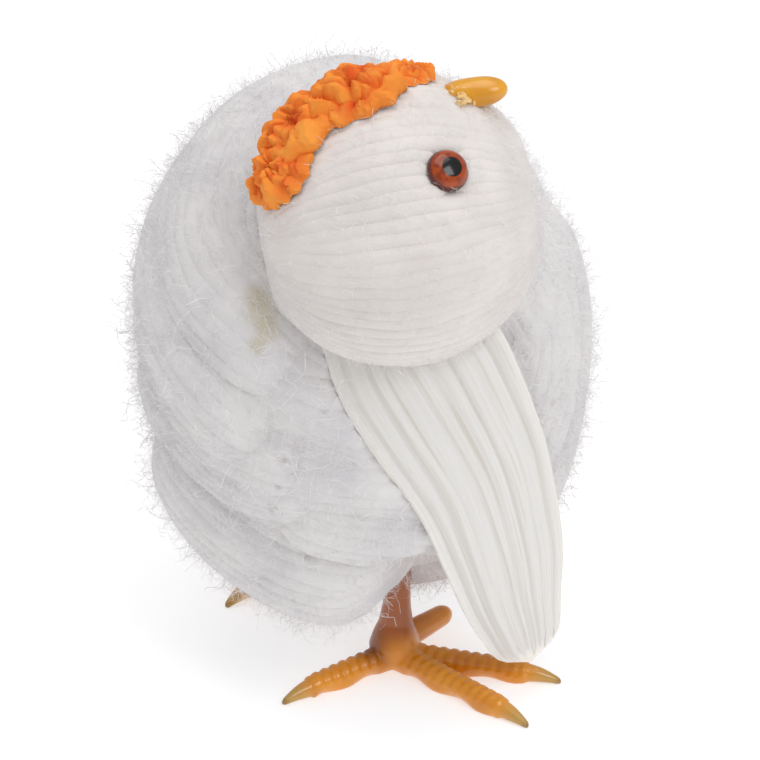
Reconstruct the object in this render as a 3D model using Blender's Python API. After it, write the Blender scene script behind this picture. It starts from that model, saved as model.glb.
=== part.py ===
"""Wool chick figurine: a wound wool body and head on two moulded plastic feet.

The chick stands on its own feet with its head turned back over its left shoulder. The wool body
is an egg wrapped in thick hanks of yarn, and the head is a wound ball of the same yarn, seated in
the top of the body. A gathered strip of crepe paper is its comb, the eyes and the beak are small
mouldings, and each wing is a tongue of flat straw strips. Units are metres, +Z is up, and -Y is
the side that faces the viewer. Plan angles run counter-clockwise from +X. The origin is the
middle of the overall box, on the ground.
"""
import math

import bmesh
import bpy
import numpy as np
from mathutils import Matrix, Vector, noise

# Fits
CLEARANCE = 0.0003        # air between two pieces that touch

# Wool body, an egg with hanks raised on it
BODY_WIDTH = 0.0556       # across X, without the hanks
BODY_DEPTH = 0.0576       # across Y, without the hanks
BODY_HEIGHT = 0.0742
BODY_LIFT = 0.0094        # from the ground to the lowest point of the egg
BODY_COLUMNS = 56
BODY_ROWS = 26
HANK_RELIEF = 0.0045      # how far a full hank stands proud of the egg
HANK_WIDTH = 0.0220       # of a full hank
LEG_NOTCH_DEPTH = 0.0060  # the wool is drawn in round each leg
LEG_NOTCH_REACH = 0.0130

# Wool head, a wound ball
HEAD_DIAMETER = 0.0402
HEAD_SHARES = (0.180, -0.695, 0.862)  # centre, as shares of half the body's width, depth, height
HEAD_COLUMNS = 40
HEAD_ROWS = 14
STRAND_RELIEF = 0.0005
NAPE_POLE = (200, -32)    # plan angle and elevation where the windings gather at the back

# Comb of crepe paper
COMB_WIDTH = 0.0136       # at the back, before the pinches
COMB_FRONT = 0.58         # width at the front end, as a share of it
COMB_HEIGHT = 0.0046
COMB_PUFFS = 4
COMB_PATH = ((210, 25), (203, 41), (192, 56), (188, 75), (45, 74))  # over the head, from the back forwards
COMB_STATIONS = 22
COMB_SIDES = 8            # facets across the strip
COMB_EDGE = 0.0007        # thickness of the paper at the strip's edges
CRUMPLE = 0.0016          # height of the paper's creases
CRUMPLE_PITCH = 9.0       # creases over one radius of the head

# Eyes and beak
EYE_DIAMETER = 0.0060
EYE_DOME = 0.0021         # height of the dome over its rim
EYE_SHANK = 0.0016        # depth of the moulded back
EYE_SIDES = 12
EYE_DIRECTION = (300, 46)
FAR_EYE_DIRECTION = (88, 50)
BEAK_LENGTH = 0.0094
BEAK_WIDTH = 0.0044
BEAK_HEIGHT = 0.0038
BEAK_ROOT = 0.0022        # length of the beak that sits in the wool
BEAK_DIRECTION = (20, 65)  # where it leaves the head
BEAK_AIM = (-6, 12)       # where its tip points

# Wings of flat straw strips
WING_THICKNESS = 0.0016
WING_STRIPS = 5
STRIP_STEP = 0.0004       # one strip's edge over the next
WING_STATIONS = 12
WING_ROOT_DEPTH = 0.0020  # how far the root is tucked into the wool
WING_TIP_LIFT = 0.0050    # of the tip's middle, from the ground
WING_WIDTH = 0.0242       # at its widest, near the root
WING_OUTLINE = (0.89, 1.0, 0.96, 0.88, 0.80, 0.74, 0.65, 0.49, 0.21)  # width, root to tip, as shares of it
WING_ANGLES = (280, 290, 300, 308, 317, 327)      # plan angle of the middle line, root to tip
WING_RADII = (0.90, 1.02, 1.045, 1.01, 0.935, 0.885)  # its distance from the axis, of the girth
WING_ROOT_SHARE = 0.79    # height of the root on the egg
WING_FACING = (284, 298)  # plan angle that the strips face, at the root and at the tip
WING_SAG = (0.20, 0.04)   # how far the edges curl in, of the half width, root and tip
BREAST_ANGLE = 199        # the two wings are alike on the two sides of this direction

# Feet
TARSUS_DIAMETER = 0.0036
TARSUS_INSERT = 0.0060    # length of the leg that goes into the wool
BOSS_WIDTH = 0.0068
BOSS_HEIGHT = 0.0084
TOE_DIAMETER = 0.0040     # at the boss
TOE_TAPER = 0.80          # diameter at the claw, as a share of it
TOE_SIDES = 8
RING_PITCH = 0.0021
RING_RELIEF = 0.00045
SOLE_CUT = 0.00045        # flat under every toe
CLAW_LENGTH = 0.0045
CLAW_TIP = 0.0009
HALLUX_DIAMETER = 0.0034
HALLUX_LENGTH = 0.0118
HALLUX_LIFT = 0.0034      # of its middle line, from the ground
HALLUX_TURN = 192         # plan angle from the first toe round to the hallux
TOE_LENGTHS = (0.0192, 0.0258, 0.0242)
TOE_TURNS = (0, 101, 131)  # plan angles from the first toe round to each toe
NEAR_ANKLE = (0.0045, -0.0080)
NEAR_TURN = 216           # plan angle of the first toe
FAR_ANKLE = (-0.0068, 0.0218)
FAR_TURN = 230

# Each hank's middle line on the egg, as plan angle and elevation seen from the egg's middle,
# with its width as a share of HANK_WIDTH and its height as a share of HANK_RELIEF.
HANKS = {
    "shoulder": (((96, 66), (148, 57), (191, 44), (214, 34), (238, 27)), 0.95, 1.25),
    "outer_shoulder": (((140, 44), (168, 36), (192, 26), (212, 16), (232, 6)), 0.95, 1.25),
    "upper_side": (((150, 16), (180, 12), (206, 8), (226, -2), (246, -6)), 0.82, 0.85),
    "lower_side": (((160, -8), (188, -9), (214, -10), (236, -14), (250, -14)), 0.82, 0.7),
    "belly": (((205, -32), (226, -42), (248, -50), (268, -52)), 1.05, 1.15),
    "breast": (((222, 16), (244, 20), (266, 14), (290, 6), (310, 2)), 1.00, 0.75),
    "breast_low": (((256, -8), (274, -10), (296, -14)), 0.77, 0.75),
    "breast_under": (((258, -24), (274, -27), (292, -30)), 0.68, 0.75),
    "flank": (((338, 38), (342, 20), (334, 2), (318, -18)), 1.05, 0.9),
    "rump": (((10, 24), (8, 6), (4, -16), (344, -36)), 1.09, 0.95),
    "back": (((60, 66), (40, 40), (36, 10), (34, -18), (30, -40)), 1.09, 0.9),
    "back_left": (((84, 44), (70, 16), (66, -12), (62, -38)), 1.09, 0.9),
    "far_side": (((118, 30), (104, 6), (98, -18), (100, -40)), 1.09, 0.85),
    "far_low": (((140, -10), (136, -26), (140, -44)), 1.00, 0.85),
    "underside": (((10, -50), (20, -68), (100, -76), (160, -62)), 1.00, 0.9),
}
HANK_STEPS = 12           # samples between two points of a hank's middle line


def direction(plan, elevation):
    """Unit vector at a plan angle and an elevation, both in degrees."""
    a, e = math.radians(plan), math.radians(elevation)
    return Vector((math.cos(e) * math.cos(a), math.cos(e) * math.sin(a), math.sin(e)))


def smooth_value(values, share):
    """Catmull-Rom value at a share from 0 to 1 along equally spaced values."""
    place = min(max(share, 0.0), 1.0) * (len(values) - 1)
    i = min(int(place), len(values) - 2)
    t = place - i
    before = values[max(i - 1, 0)]
    after = values[min(i + 2, len(values) - 1)]
    a, b = values[i], values[i + 1]
    return 0.5 * (2 * a + (b - before) * t + (2 * before - 5 * a + 4 * b - after) * t * t
                  + (3 * a - before - 3 * b + after) * t ** 3)


def smooth_path(points, steps):
    """Points on a smooth curve through vectors, steps between each two."""
    count = (len(points) - 1) * steps + 1
    columns = [[p[axis] for p in points] for axis in range(3)]
    return [Vector([smooth_value(column, k / (count - 1)) for column in columns])
            for k in range(count)]


BODY_MIDDLE = Vector((0.0, 0.0, BODY_LIFT + BODY_HEIGHT / 2))
BODY_HALF = Vector((BODY_WIDTH / 2, BODY_DEPTH / 2, BODY_HEIGHT / 2))
BODY_GIRTH = (BODY_WIDTH + BODY_DEPTH) / 4 + HANK_RELIEF * 0.75
HEAD_RADIUS = HEAD_DIAMETER / 2
HEAD_MIDDLE = BODY_MIDDLE + Vector([s * h for s, h in zip(HEAD_SHARES, BODY_HALF)])


def hank_lines():
    """For each hank: its sampled directions, its half width and its height."""
    lines = []
    for path, width, height in HANKS.values():
        samples = smooth_path([direction(*point) for point in path], HANK_STEPS)
        lines.append((np.array([sample.normalized() for sample in samples]),
                      width * HANK_WIDTH / 2, height * HANK_RELIEF))
    return lines


def body_radius(unit, lines, notches):
    """Distance from the body's middle to its skin along a unit vector."""
    egg = 1 / math.sqrt(sum((u / h) ** 2 for u, h in zip(unit, BODY_HALF)))
    relief = 0.0
    for samples, half_width, height in lines:
        away = math.acos(min(float((samples @ np.array(unit)).max()), 1.0)) * BODY_GIRTH
        if away < half_width:
            relief = max(relief, height * (1 - (away / half_width) ** 2))
    for notch in notches:
        away = math.acos(min(notch.dot(unit), 1.0)) * BODY_GIRTH / LEG_NOTCH_REACH
        if away < 1:
            relief -= LEG_NOTCH_DEPTH * (1 - away * away) ** 2
    return egg + relief


def make_material(name, colour, roughness):
    material = bpy.data.materials.new(name)
    material.use_nodes = True
    shader = material.node_tree.nodes["Principled BSDF"]
    shader.inputs["Base Color"].default_value = (*colour, 1.0)
    shader.inputs["Roughness"].default_value = roughness
    shader.inputs["Metallic"].default_value = 0.0
    material.diffuse_color = (*colour, 1.0)
    return material


def add_object(name, mesh_edit, material=None):
    """Makes a named object of a closed bmesh, faces outwards."""
    bmesh.ops.recalc_face_normals(mesh_edit, faces=mesh_edit.faces)
    if mesh_edit.calc_volume(signed=True) < 0:
        bmesh.ops.reverse_faces(mesh_edit, faces=mesh_edit.faces)
    mesh = bpy.data.meshes.new(name)
    mesh_edit.to_mesh(mesh)
    mesh_edit.free()
    mesh.shade_smooth()
    mesh.set_sharp_from_angle(angle=math.radians(50))
    thing = bpy.data.objects.new(name, mesh)
    if material:
        mesh.materials.append(material)
    bpy.context.scene.collection.objects.link(thing)
    return thing


def combine(target, other, operation):
    """Joins or cuts target with other by a Boolean, applies it and takes other away."""
    step = target.modifiers.new(operation.lower(), "BOOLEAN")
    step.operation = operation
    step.object = other
    step.solver = "EXACT"
    depsgraph = bpy.context.evaluated_depsgraph_get()
    result = bpy.data.meshes.new_from_object(target.evaluated_get(depsgraph))
    target.modifiers.remove(step)
    target.data = result
    bpy.data.objects.remove(other, do_unlink=True)


def ball(name, columns, rows, place):
    """A sphere of columns and rows whose points are put where place(unit vector) says."""
    edit = bmesh.new()
    bmesh.ops.create_uvsphere(edit, u_segments=columns, v_segments=rows, radius=1.0)
    for vertex in edit.verts:
        vertex.co = place(vertex.co.normalized())
    return add_object(name, edit)


def skin_rings(rings):
    """A closed bmesh over rings of equal point counts, capped flat at both ends."""
    edit = bmesh.new()
    loops = [[edit.verts.new(point) for point in ring] for ring in rings]
    count = len(loops[0])
    for near, far in zip(loops, loops[1:]):
        for k in range(count):
            edit.faces.new((near[k], near[(k + 1) % count], far[(k + 1) % count], far[k]))
    edit.faces.new(loops[0][::-1])
    edit.faces.new(loops[-1])
    return edit


def round_ring(middle, along, radius, sides, flat=1.0, up=Vector((0, 0, 1)), roll=0.5):
    """Points of a circle round a line, its height scaled by flat, rolled by a share of a side."""
    side = along.cross(up).normalized()
    top = side.cross(along).normalized()
    return [middle + side * radius * math.cos(a) + top * radius * flat * math.sin(a)
            for a in (2 * math.pi * (k + roll) / sides for k in range(sides))]


def head_ball(name, grow):
    """The head, or its seat where grow is the room round it; strands run nape to beak."""
    pole = direction(*NAPE_POLE)
    turn = pole.to_track_quat("Z", "Y").to_matrix()

    def place(unit):
        angle = math.atan2(unit.y, unit.x)
        fade = math.sqrt(max(1 - unit.z ** 2, 0.0))
        ridge = STRAND_RELIEF * fade * math.cos(angle * HEAD_COLUMNS / 2)
        radius = HEAD_RADIUS + (grow if grow else ridge * 0.5)
        return HEAD_MIDDLE + turn @ unit * radius

    return ball(name, HEAD_COLUMNS, HEAD_ROWS, place)


def wing_line(share):
    """Middle of the wing at a share from root to tip, left wing."""
    plan = smooth_value(WING_ANGLES, share)
    girth = smooth_value(WING_RADII, share) * BODY_GIRTH
    root = BODY_LIFT + BODY_HEIGHT * WING_ROOT_SHARE
    height = root + (WING_TIP_LIFT - root) * share
    if share < 0.12:
        girth -= WING_ROOT_DEPTH * (1 - share / 0.12)
    a = math.radians(plan)
    return Vector((girth * math.cos(a), girth * math.sin(a), height))


def wing_solid(name, mirrored, grow=0.0, overhang=0.0):
    """A wing; with grow and overhang it is the bed that the wool leaves for it."""
    across = WING_STRIPS * 2
    rings = []
    for station in range(WING_STATIONS):
        share = station / (WING_STATIONS - 1)
        middle = wing_line(share)
        along = (wing_line(min(share + 0.02, 1.0)) - wing_line(max(share - 0.02, 0.0))).normalized()
        facing = direction(WING_FACING[0] + (WING_FACING[1] - WING_FACING[0]) * share, 0)
        side = along.cross(facing).normalized()
        out = side.cross(along).normalized()
        half = WING_WIDTH / 2 * smooth_value(WING_OUTLINE, share) + grow
        sag = WING_SAG[0] + (WING_SAG[1] - WING_SAG[0]) * share
        body = WING_THICKNESS * (0.55 + 0.45 * math.sin(math.pi * min(share + 0.25, 1.0)))
        outer, inner = [], []
        for k in range(across + 1):
            u = 2 * k / across - 1
            step = STRIP_STEP * (k % 2) if 0 < k < across else 0.0
            edge = 0.5 + 0.5 * math.sqrt(max(1 - u * u, 0.0))
            line = middle + side * u * half - out * (sag * half * u * u)
            outer.append(line + out * (body / 2 * edge + (step if not grow else 0.0) + grow
                                       + overhang * min(share / 0.2, 1.0)))
            inner.append(line - out * (body / 2 * edge + grow))
        rings.append(outer + inner[::-1])
    edit = skin_rings(rings)
    if mirrored:
        a = math.radians(BREAST_ANGLE)
        normal = Vector((-math.sin(a), math.cos(a), 0.0))
        for vertex in edit.verts:
            vertex.co -= normal * 2 * vertex.co.dot(normal)
    return add_object(name, edit)


def toe_profile(length):
    """Distances and radii along a toe: raised rings, then a plain tapered claw."""
    root = TOE_DIAMETER / 2
    ringed = length - CLAW_LENGTH
    count = max(int(ringed / RING_PITCH), 1) * 2
    profile = []
    for k in range(count + 1):
        share = k / count
        radius = root * (1 + (TOE_TAPER - 1) * share)
        profile.append((ringed * share, radius, radius + RING_RELIEF * (0.5 if k % 2 else -0.5)))
    nail = root * TOE_TAPER
    for share, part in ((0.12, 0.74), (0.45, 0.66), (0.80, 0.46), (1.0, CLAW_TIP / 2 / nail)):
        profile.append((ringed + CLAW_LENGTH * share, nail * (0.8 + 0.2 * part), nail * part))
    return profile


def toe(name, ankle, plan, length, roll):
    """One ringed toe that lies along the ground from the middle of the boss."""
    along = direction(plan, 0)
    rings = []
    for distance, base, radius in toe_profile(length):
        middle = ankle + along * distance + Vector((0, 0, base - SOLE_CUT))
        rings.append(round_ring(middle, along, radius, TOE_SIDES, roll=roll))
    return add_object(name, skin_rings(rings))


def leg_top(ankle):
    """Where the leg's upper end stands inside the wool."""
    across = Vector((ankle.x / BODY_HALF.x, ankle.y / BODY_HALF.y))
    skin = BODY_MIDDLE.z - BODY_HALF.z * math.sqrt(max(1 - across.length_squared, 0.05))
    return Vector((ankle.x * 1.25, ankle.y * 0.9, skin + LEG_NOTCH_DEPTH + TARSUS_INSERT))


def leg_rod(name, ankle, grow):
    """The leg above the boss, or the hole that the wool leaves for it."""
    low = ankle + Vector((0, 0, BOSS_HEIGHT * 0.5))
    high = leg_top(ankle)
    along = (high - low).normalized()
    rings = []
    for share, part in ((0.0, 1.15), (0.35, 1.0), (1.0, 0.95)):
        middle = low + (high + along * grow - low) * share
        rings.append(round_ring(middle, along, TARSUS_DIAMETER / 2 * part + grow, 10,
                                up=Vector((0, 1, 0))))
    return add_object(name, skin_rings(rings))


def foot(name, ankle, turn, hand, material):
    """One moulded foot: boss, leg, three ringed toes and a smooth hallux, flat underneath."""
    middle = ankle + Vector((0, 0, BOSS_HEIGHT / 2 - SOLE_CUT))
    half = Vector((BOSS_WIDTH / 2, BOSS_WIDTH / 2, BOSS_HEIGHT / 2))
    solid = ball(name, 12, 8, lambda unit: middle + Vector([u * h for u, h in zip(unit, half)]))
    combine(solid, leg_rod(name + "_leg", ankle, 0.0), "UNION")
    for length, angle, roll in zip(TOE_LENGTHS, TOE_TURNS, (0.5, 0.5, 0.0)):
        combine(solid, toe(name + "_toe", ankle, turn + hand * angle, length, roll), "UNION")
    along = direction(turn + hand * HALLUX_TURN, 0)
    start = ankle + Vector((0, 0, HALLUX_LIFT))
    rings = []
    for share, part in ((0.0, 0.95), (0.55, 1.0), (0.82, 0.95), (0.95, 0.68), (1.0, 0.35)):
        rings.append(round_ring(start + along * HALLUX_LENGTH * share, along,
                                HALLUX_DIAMETER / 2 * part, TOE_SIDES))
    combine(solid, add_object(name + "_hallux", skin_rings(rings)), "UNION")
    edit = bmesh.new()
    reach = max(TOE_LENGTHS) * 2
    bmesh.ops.create_cube(edit, size=1.0, matrix=Matrix.Translation(
        ankle - Vector((0, 0, reach / 2))) @ Matrix.Diagonal((2 * reach, 2 * reach, reach, 1)))
    combine(solid, add_object(name + "_ground", edit), "DIFFERENCE")
    solid.data.materials.clear()
    solid.data.materials.append(material)
    return solid


def comb_solid(name):
    """The gathered paper strip: puffs with pinches between them, crumpled, over the head."""
    line = smooth_path([direction(*point) for point in COMB_PATH], COMB_STATIONS)
    base = HEAD_RADIUS + STRAND_RELIEF / 2 + CLEARANCE
    rings = []
    for station in range(COMB_STATIONS):
        share = station / (COMB_STATIONS - 1)
        spot = round(share * (len(line) - 1))
        unit = line[spot].normalized()
        ahead = line[min(spot + 3, len(line) - 1)] - line[max(spot - 3, 0)]
        side = (ahead - unit * ahead.dot(unit)).normalized().cross(unit)
        puff = 0.60 + 0.40 * abs(math.sin(math.pi * COMB_PUFFS * share))
        end = min(1.0, 0.30 + 5 * min(share, 1 - share))
        half = COMB_WIDTH / 2 * (1 + (COMB_FRONT - 1) * share)
        outer, inner = [], []
        for k in range(COMB_SIDES + 1):
            u = 2 * k / COMB_SIDES - 1
            aside = (unit * base + side * u * half * puff * end).normalized()
            ragged = noise.noise(aside * CRUMPLE_PITCH) * CRUMPLE
            rise = COMB_HEIGHT * puff * end * math.sqrt(1 - 0.92 * u * u)
            outer.append(HEAD_MIDDLE + aside * (base + max(rise + ragged, COMB_EDGE)))
            inner.append(HEAD_MIDDLE + aside * base)
        rings.append(outer + inner[::-1])
    return add_object(name, skin_rings(rings))


def eye_solid(name, spot, grow):
    """A moulded eye set in the head, or its socket."""
    unit = direction(*spot)
    turn = unit.to_track_quat("Z", "Y")
    seat = HEAD_MIDDLE + unit * (HEAD_RADIUS - 0.0004)
    radius = EYE_DIAMETER / 2 + grow
    profile = [(-EYE_SHANK - grow, 0.42), (-EYE_SHANK * 0.4 - grow, 0.80), (0.0, 1.0)]
    for k in range(1, 4):
        a = math.pi / 2 * k / 4
        profile.append((EYE_DOME * math.sin(a), math.cos(a)))
    profile.append((EYE_DOME, 0.10))
    rings = [[seat + turn @ Vector((radius * part * math.cos(a), radius * part * math.sin(a), z))
              for a in (2 * math.pi * k / EYE_SIDES for k in range(EYE_SIDES))] for z, part in profile]
    return add_object(name, skin_rings(rings))


def beak_solid(name, grow):
    """A pointed oval beak whose root sits in the wool, or its socket."""
    aim = direction(*BEAK_AIM)
    start = HEAD_MIDDLE + direction(*BEAK_DIRECTION) * HEAD_RADIUS - aim * BEAK_ROOT
    rings = []
    for share in (0.0, 0.12, 0.28, 0.45, 0.62, 0.78, 0.91, 1.0):
        part = math.sin(math.pi * (0.16 + 0.82 * share)) ** 0.75
        middle = start + aim * ((BEAK_LENGTH + 2 * grow) * share - grow)
        rings.append(round_ring(middle, aim, BEAK_WIDTH / 2 * part + grow, 12,
                                flat=BEAK_HEIGHT / BEAK_WIDTH))
    return add_object(name, skin_rings(rings))


def build():
    for old in list(bpy.data.objects):
        bpy.data.objects.remove(old, do_unlink=True)
    wool = make_material("white wool", (0.72, 0.69, 0.67), 0.95)
    paper = make_material("orange crepe paper", (0.75, 0.22, 0.05), 0.85)
    straw = make_material("ivory straw strip", (0.76, 0.73, 0.68), 0.60)
    amber = make_material("amber eye", (0.24, 0.04, 0.01), 0.15)
    yellow = make_material("yellow beak", (0.63, 0.28, 0.03), 0.35)
    orange = make_material("orange foot plastic", (0.56, 0.22, 0.04), 0.40)

    near = Vector((*NEAR_ANKLE, 0.0))
    far = Vector((*FAR_ANKLE, 0.0))
    lines = hank_lines()
    notches = []
    for ankle in (near, far):
        low = Vector((ankle.x, ankle.y, BODY_LIFT))
        notches.append((low - BODY_MIDDLE).normalized())

    body = ball("wool_body", BODY_COLUMNS, BODY_ROWS,
                lambda unit: BODY_MIDDLE + unit * body_radius(unit, lines, notches))
    combine(body, head_ball("head_seat", CLEARANCE + STRAND_RELIEF / 2), "DIFFERENCE")
    for mirrored in (False, True):
        combine(body, wing_solid("wing_bed", mirrored, CLEARANCE, HANK_RELIEF * 2), "DIFFERENCE")
    for ankle in (near, far):
        combine(body, leg_rod("leg_hole", ankle, CLEARANCE), "DIFFERENCE")

    head = head_ball("wool_head", 0.0)
    for spot in (EYE_DIRECTION, FAR_EYE_DIRECTION):
        combine(head, eye_solid("eye_socket", spot, CLEARANCE), "DIFFERENCE")
    combine(head, beak_solid("beak_socket", CLEARANCE), "DIFFERENCE")

    left = wing_solid("wing_left", False)
    combine(left, head_ball("wing_trim", CLEARANCE + STRAND_RELIEF / 2), "DIFFERENCE")
    right = wing_solid("wing_right", True)

    finishes = ((body, wool), (head, wool), (left, straw), (right, straw),
                (comb_solid("paper_comb"), paper),
                (beak_solid("beak", 0.0), yellow),
                (eye_solid("eye_left", EYE_DIRECTION, 0.0), amber),
                (eye_solid("eye_right", FAR_EYE_DIRECTION, 0.0), amber),
                (foot("foot_left", near, NEAR_TURN, 1, orange), orange),
                (foot("foot_right", far, FAR_TURN, -1, orange), orange))
    pieces = []
    for thing, material in finishes:
        thing.data.materials.clear()
        thing.data.materials.append(material)
        pieces.append(thing)

    corners = [vertex.co for thing in pieces for vertex in thing.data.vertices]
    low = [min(corner[axis] for corner in corners) for axis in range(3)]
    high = [max(corner[axis] for corner in corners) for axis in range(3)]
    origin = bpy.data.objects.new("ground_centre", None)
    bpy.context.scene.collection.objects.link(origin)
    origin.location = (-(low[0] + high[0]) / 2, -(low[1] + high[1]) / 2, -low[2])
    for thing in pieces:
        thing.parent = origin
        print(thing.name, len(thing.data.loops) - 2 * len(thing.data.polygons), "triangles")
    print("shift", [round(v, 6) for v in origin.location])
    print("size", [round(h - l, 5) for l, h in zip(low, high)])


build()
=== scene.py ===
# %% [markdown]
# # A chick of wound wool
#
# The real chick is made by hand. Thick hanks of white yarn are wound and glued round a core shaped
# like an egg, and a ball of the same yarn is its head. A gathered strip of crepe paper is the comb,
# each wing is a stack of flat ivory strips, and the eyes, the beak and the feet are small plastic
# mouldings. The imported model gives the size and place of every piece, as plain solids. This script
# gives each piece its real surface, in the same frame, and never moves one of those solids.

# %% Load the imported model
import math

import bmesh
import bpy
import numpy as np
from mathutils import Matrix, Vector, noise
from mathutils.bvhtree import BVHTree


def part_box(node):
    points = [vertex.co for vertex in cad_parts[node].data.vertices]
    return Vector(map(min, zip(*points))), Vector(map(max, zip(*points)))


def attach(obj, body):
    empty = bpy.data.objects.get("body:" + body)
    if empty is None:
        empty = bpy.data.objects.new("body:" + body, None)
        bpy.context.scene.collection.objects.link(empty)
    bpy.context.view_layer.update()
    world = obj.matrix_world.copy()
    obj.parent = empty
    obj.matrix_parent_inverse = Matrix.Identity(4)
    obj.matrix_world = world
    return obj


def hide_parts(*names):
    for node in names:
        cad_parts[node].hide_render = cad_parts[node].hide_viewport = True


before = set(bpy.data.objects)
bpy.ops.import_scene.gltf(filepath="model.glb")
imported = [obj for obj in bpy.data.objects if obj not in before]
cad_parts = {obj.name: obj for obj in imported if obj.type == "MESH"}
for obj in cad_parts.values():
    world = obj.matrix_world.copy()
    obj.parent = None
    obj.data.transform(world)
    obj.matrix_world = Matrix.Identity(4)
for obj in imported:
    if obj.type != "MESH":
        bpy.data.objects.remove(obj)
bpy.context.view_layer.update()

MM = 0.001

# %% [markdown]
# ## The sizes that everything follows
#
# The head is a true ball, so the middle of its box is its centre, and the egg of the body hangs from
# there by fixed shares of its own half sizes. A direction is a plan angle, counter-clockwise from +X,
# and an elevation, both in degrees. Long runs of points are kept as arrays, one row a point, because
# thousands of yarn points are worked out at once.

# %% Sizes from the frame
HEAD_MIDDLE = sum(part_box("wool_head"), Vector()) / 2
HEAD_RADIUS = 20.1 * MM
BODY_HALF = Vector((27.8, 28.8, 37.1)) * MM
HEAD_SHARES = Vector((0.180, -0.695, 0.862))
BODY_MIDDLE = HEAD_MIDDLE - Vector([share * half for share, half in zip(HEAD_SHARES, BODY_HALF)])
HANK_RELIEF = 4.5 * MM
HANK_WIDTH = 22.0 * MM
BODY_GIRTH = (BODY_HALF.x + BODY_HALF.y) / 2 + 0.75 * HANK_RELIEF
ANKLES = {"foot_left": BODY_MIDDLE + Vector((4.5 * MM, -8.0 * MM, -BODY_MIDDLE.z)),
          "foot_right": BODY_MIDDLE + Vector((-6.8 * MM, 21.8 * MM, -BODY_MIDDLE.z))}
HEAD_ROW, BODY_ROW = np.array(HEAD_MIDDLE), np.array(BODY_MIDDLE)
print("head", HEAD_MIDDLE, "body", BODY_MIDDLE)


def direction(plan, elevation):
    """Unit vector at a plan angle and an elevation, in degrees."""
    a, e = math.radians(plan), math.radians(elevation)
    return Vector((math.cos(e) * math.cos(a), math.cos(e) * math.sin(a), math.sin(e)))


def angles_from(rows, spot):
    """Angle between each direction and one spot."""
    return np.arccos(np.clip(rows @ np.array(spot), -1, 1))


def units(rows):
    """Each row of an array, made one long."""
    return rows / np.linalg.norm(rows, axis=1, keepdims=True)


def between(before, a, b, after, t):
    """Catmull-Rom value at a share t of the way from a to b."""
    return 0.5 * (2 * a + (b - before) * t + (2 * before - 5 * a + 4 * b - after) * t ** 2
                  + (3 * a - before - 3 * b + after) * t ** 3)


def smooth_path(points, steps):
    """Rows on a smooth curve through points, steps between each two."""
    p = np.array([points[0], *points, points[-1]], float)
    t = (np.arange(steps) / steps)[:, None]
    return np.vstack([*[between(*p[i:i + 4], t) for i in range(len(points) - 1)], p[-1:]])


def even(rows, step):
    """The same path with its points a step apart."""
    gone = np.concatenate([[0], np.cumsum(np.linalg.norm(np.diff(rows, axis=0), axis=1))])
    count = max(int(round(gone[-1] / step)), 3)
    marks = np.linspace(0, gone[-1], count + 1)
    return np.stack([np.interp(marks, gone, rows[:, axis]) for axis in range(3)], axis=1)


# %% [markdown]
# ## The camera and the light
#
# The photograph looks down on the chick by thirty degrees through a long lens, so a far camera with
# a narrow field shows it the same way. The light is soft and comes from all round, with a little
# more from the upper right, on a floor so bright that it runs into the background.

# %% Camera, lights and floor
VIEW_TILT = math.radians(30)
VIEW_DISTANCE = 2.6
PHOTO_SIDE = 760
PIXEL = MM / 7.17
VIEW_MIDDLE = BODY_MIDDLE + Vector((2.65 * MM, 0, -5.2 * MM))
TO_VIEWER = Vector((0, -math.cos(VIEW_TILT), math.sin(VIEW_TILT)))
PHOTO_RIGHT = Vector((1, 0, 0))
PHOTO_UP = Vector((0, math.sin(VIEW_TILT), math.cos(VIEW_TILT)))
FLOOR_REACH = 3.0


def placed(name, data):
    """An object of some data, in the scene."""
    thing = bpy.data.objects.new(name, data)
    bpy.context.scene.collection.objects.link(thing)
    return thing


def add_light(name, towards, distance, size, power):
    """A soft square light that faces the chick."""
    data = bpy.data.lights.new(name, "AREA")
    data.size = size
    data.energy = power
    lamp = placed(name, data)
    lamp.location = VIEW_MIDDLE + towards.normalized() * distance
    lamp.rotation_euler = towards.to_track_quat("Z", "Y").to_euler()


def add_studio():
    """Camera, white surroundings, two lights and the floor."""
    scene = bpy.context.scene
    data = bpy.data.cameras.new("view")
    data.sensor_width = 36
    data.lens = data.sensor_width * VIEW_DISTANCE / (PHOTO_SIDE * PIXEL)
    camera = placed("view", data)
    camera.location = VIEW_MIDDLE + TO_VIEWER * VIEW_DISTANCE
    camera.rotation_euler = TO_VIEWER.to_track_quat("Z", "Y").to_euler()
    scene.camera = camera
    scene.view_settings.view_transform = "Standard"
    world = bpy.data.worlds.new("white room")
    world.use_nodes = True
    sky = world.node_tree.nodes["Background"].inputs
    sky["Color"].default_value = (0.97, 0.98, 1.0, 1)
    sky["Strength"].default_value = 0.50
    scene.world = world
    add_light("window", Vector((0.55, -0.75, 0.95)), 0.9, 0.45, 2.6)
    add_light("ceiling", Vector((-0.1, 0.1, 1.0)), 1.0, 0.9, 4.8)
    mesh = bpy.data.meshes.new("floor")
    corners = ((-1, -1), (1, -1), (1, 1), (-1, 1))
    mesh.from_pydata([(x * FLOOR_REACH, y * FLOOR_REACH, 0) for x, y in corners], [], [(0, 1, 2, 3)])
    floor = placed("floor", mesh)
    return floor


floor = add_studio()
print("camera at", [round(v, 3) for v in bpy.context.scene.camera.location])

# %% [markdown]
# ## One way to write a node tree
#
# A finish and a Geometry Nodes tree are both webs of nodes. One small class wraps a socket, so that
# sums and products in Python add the Math nodes, and one method adds any other node. Settings are
# set first, because they decide which sockets a node shows.


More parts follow.
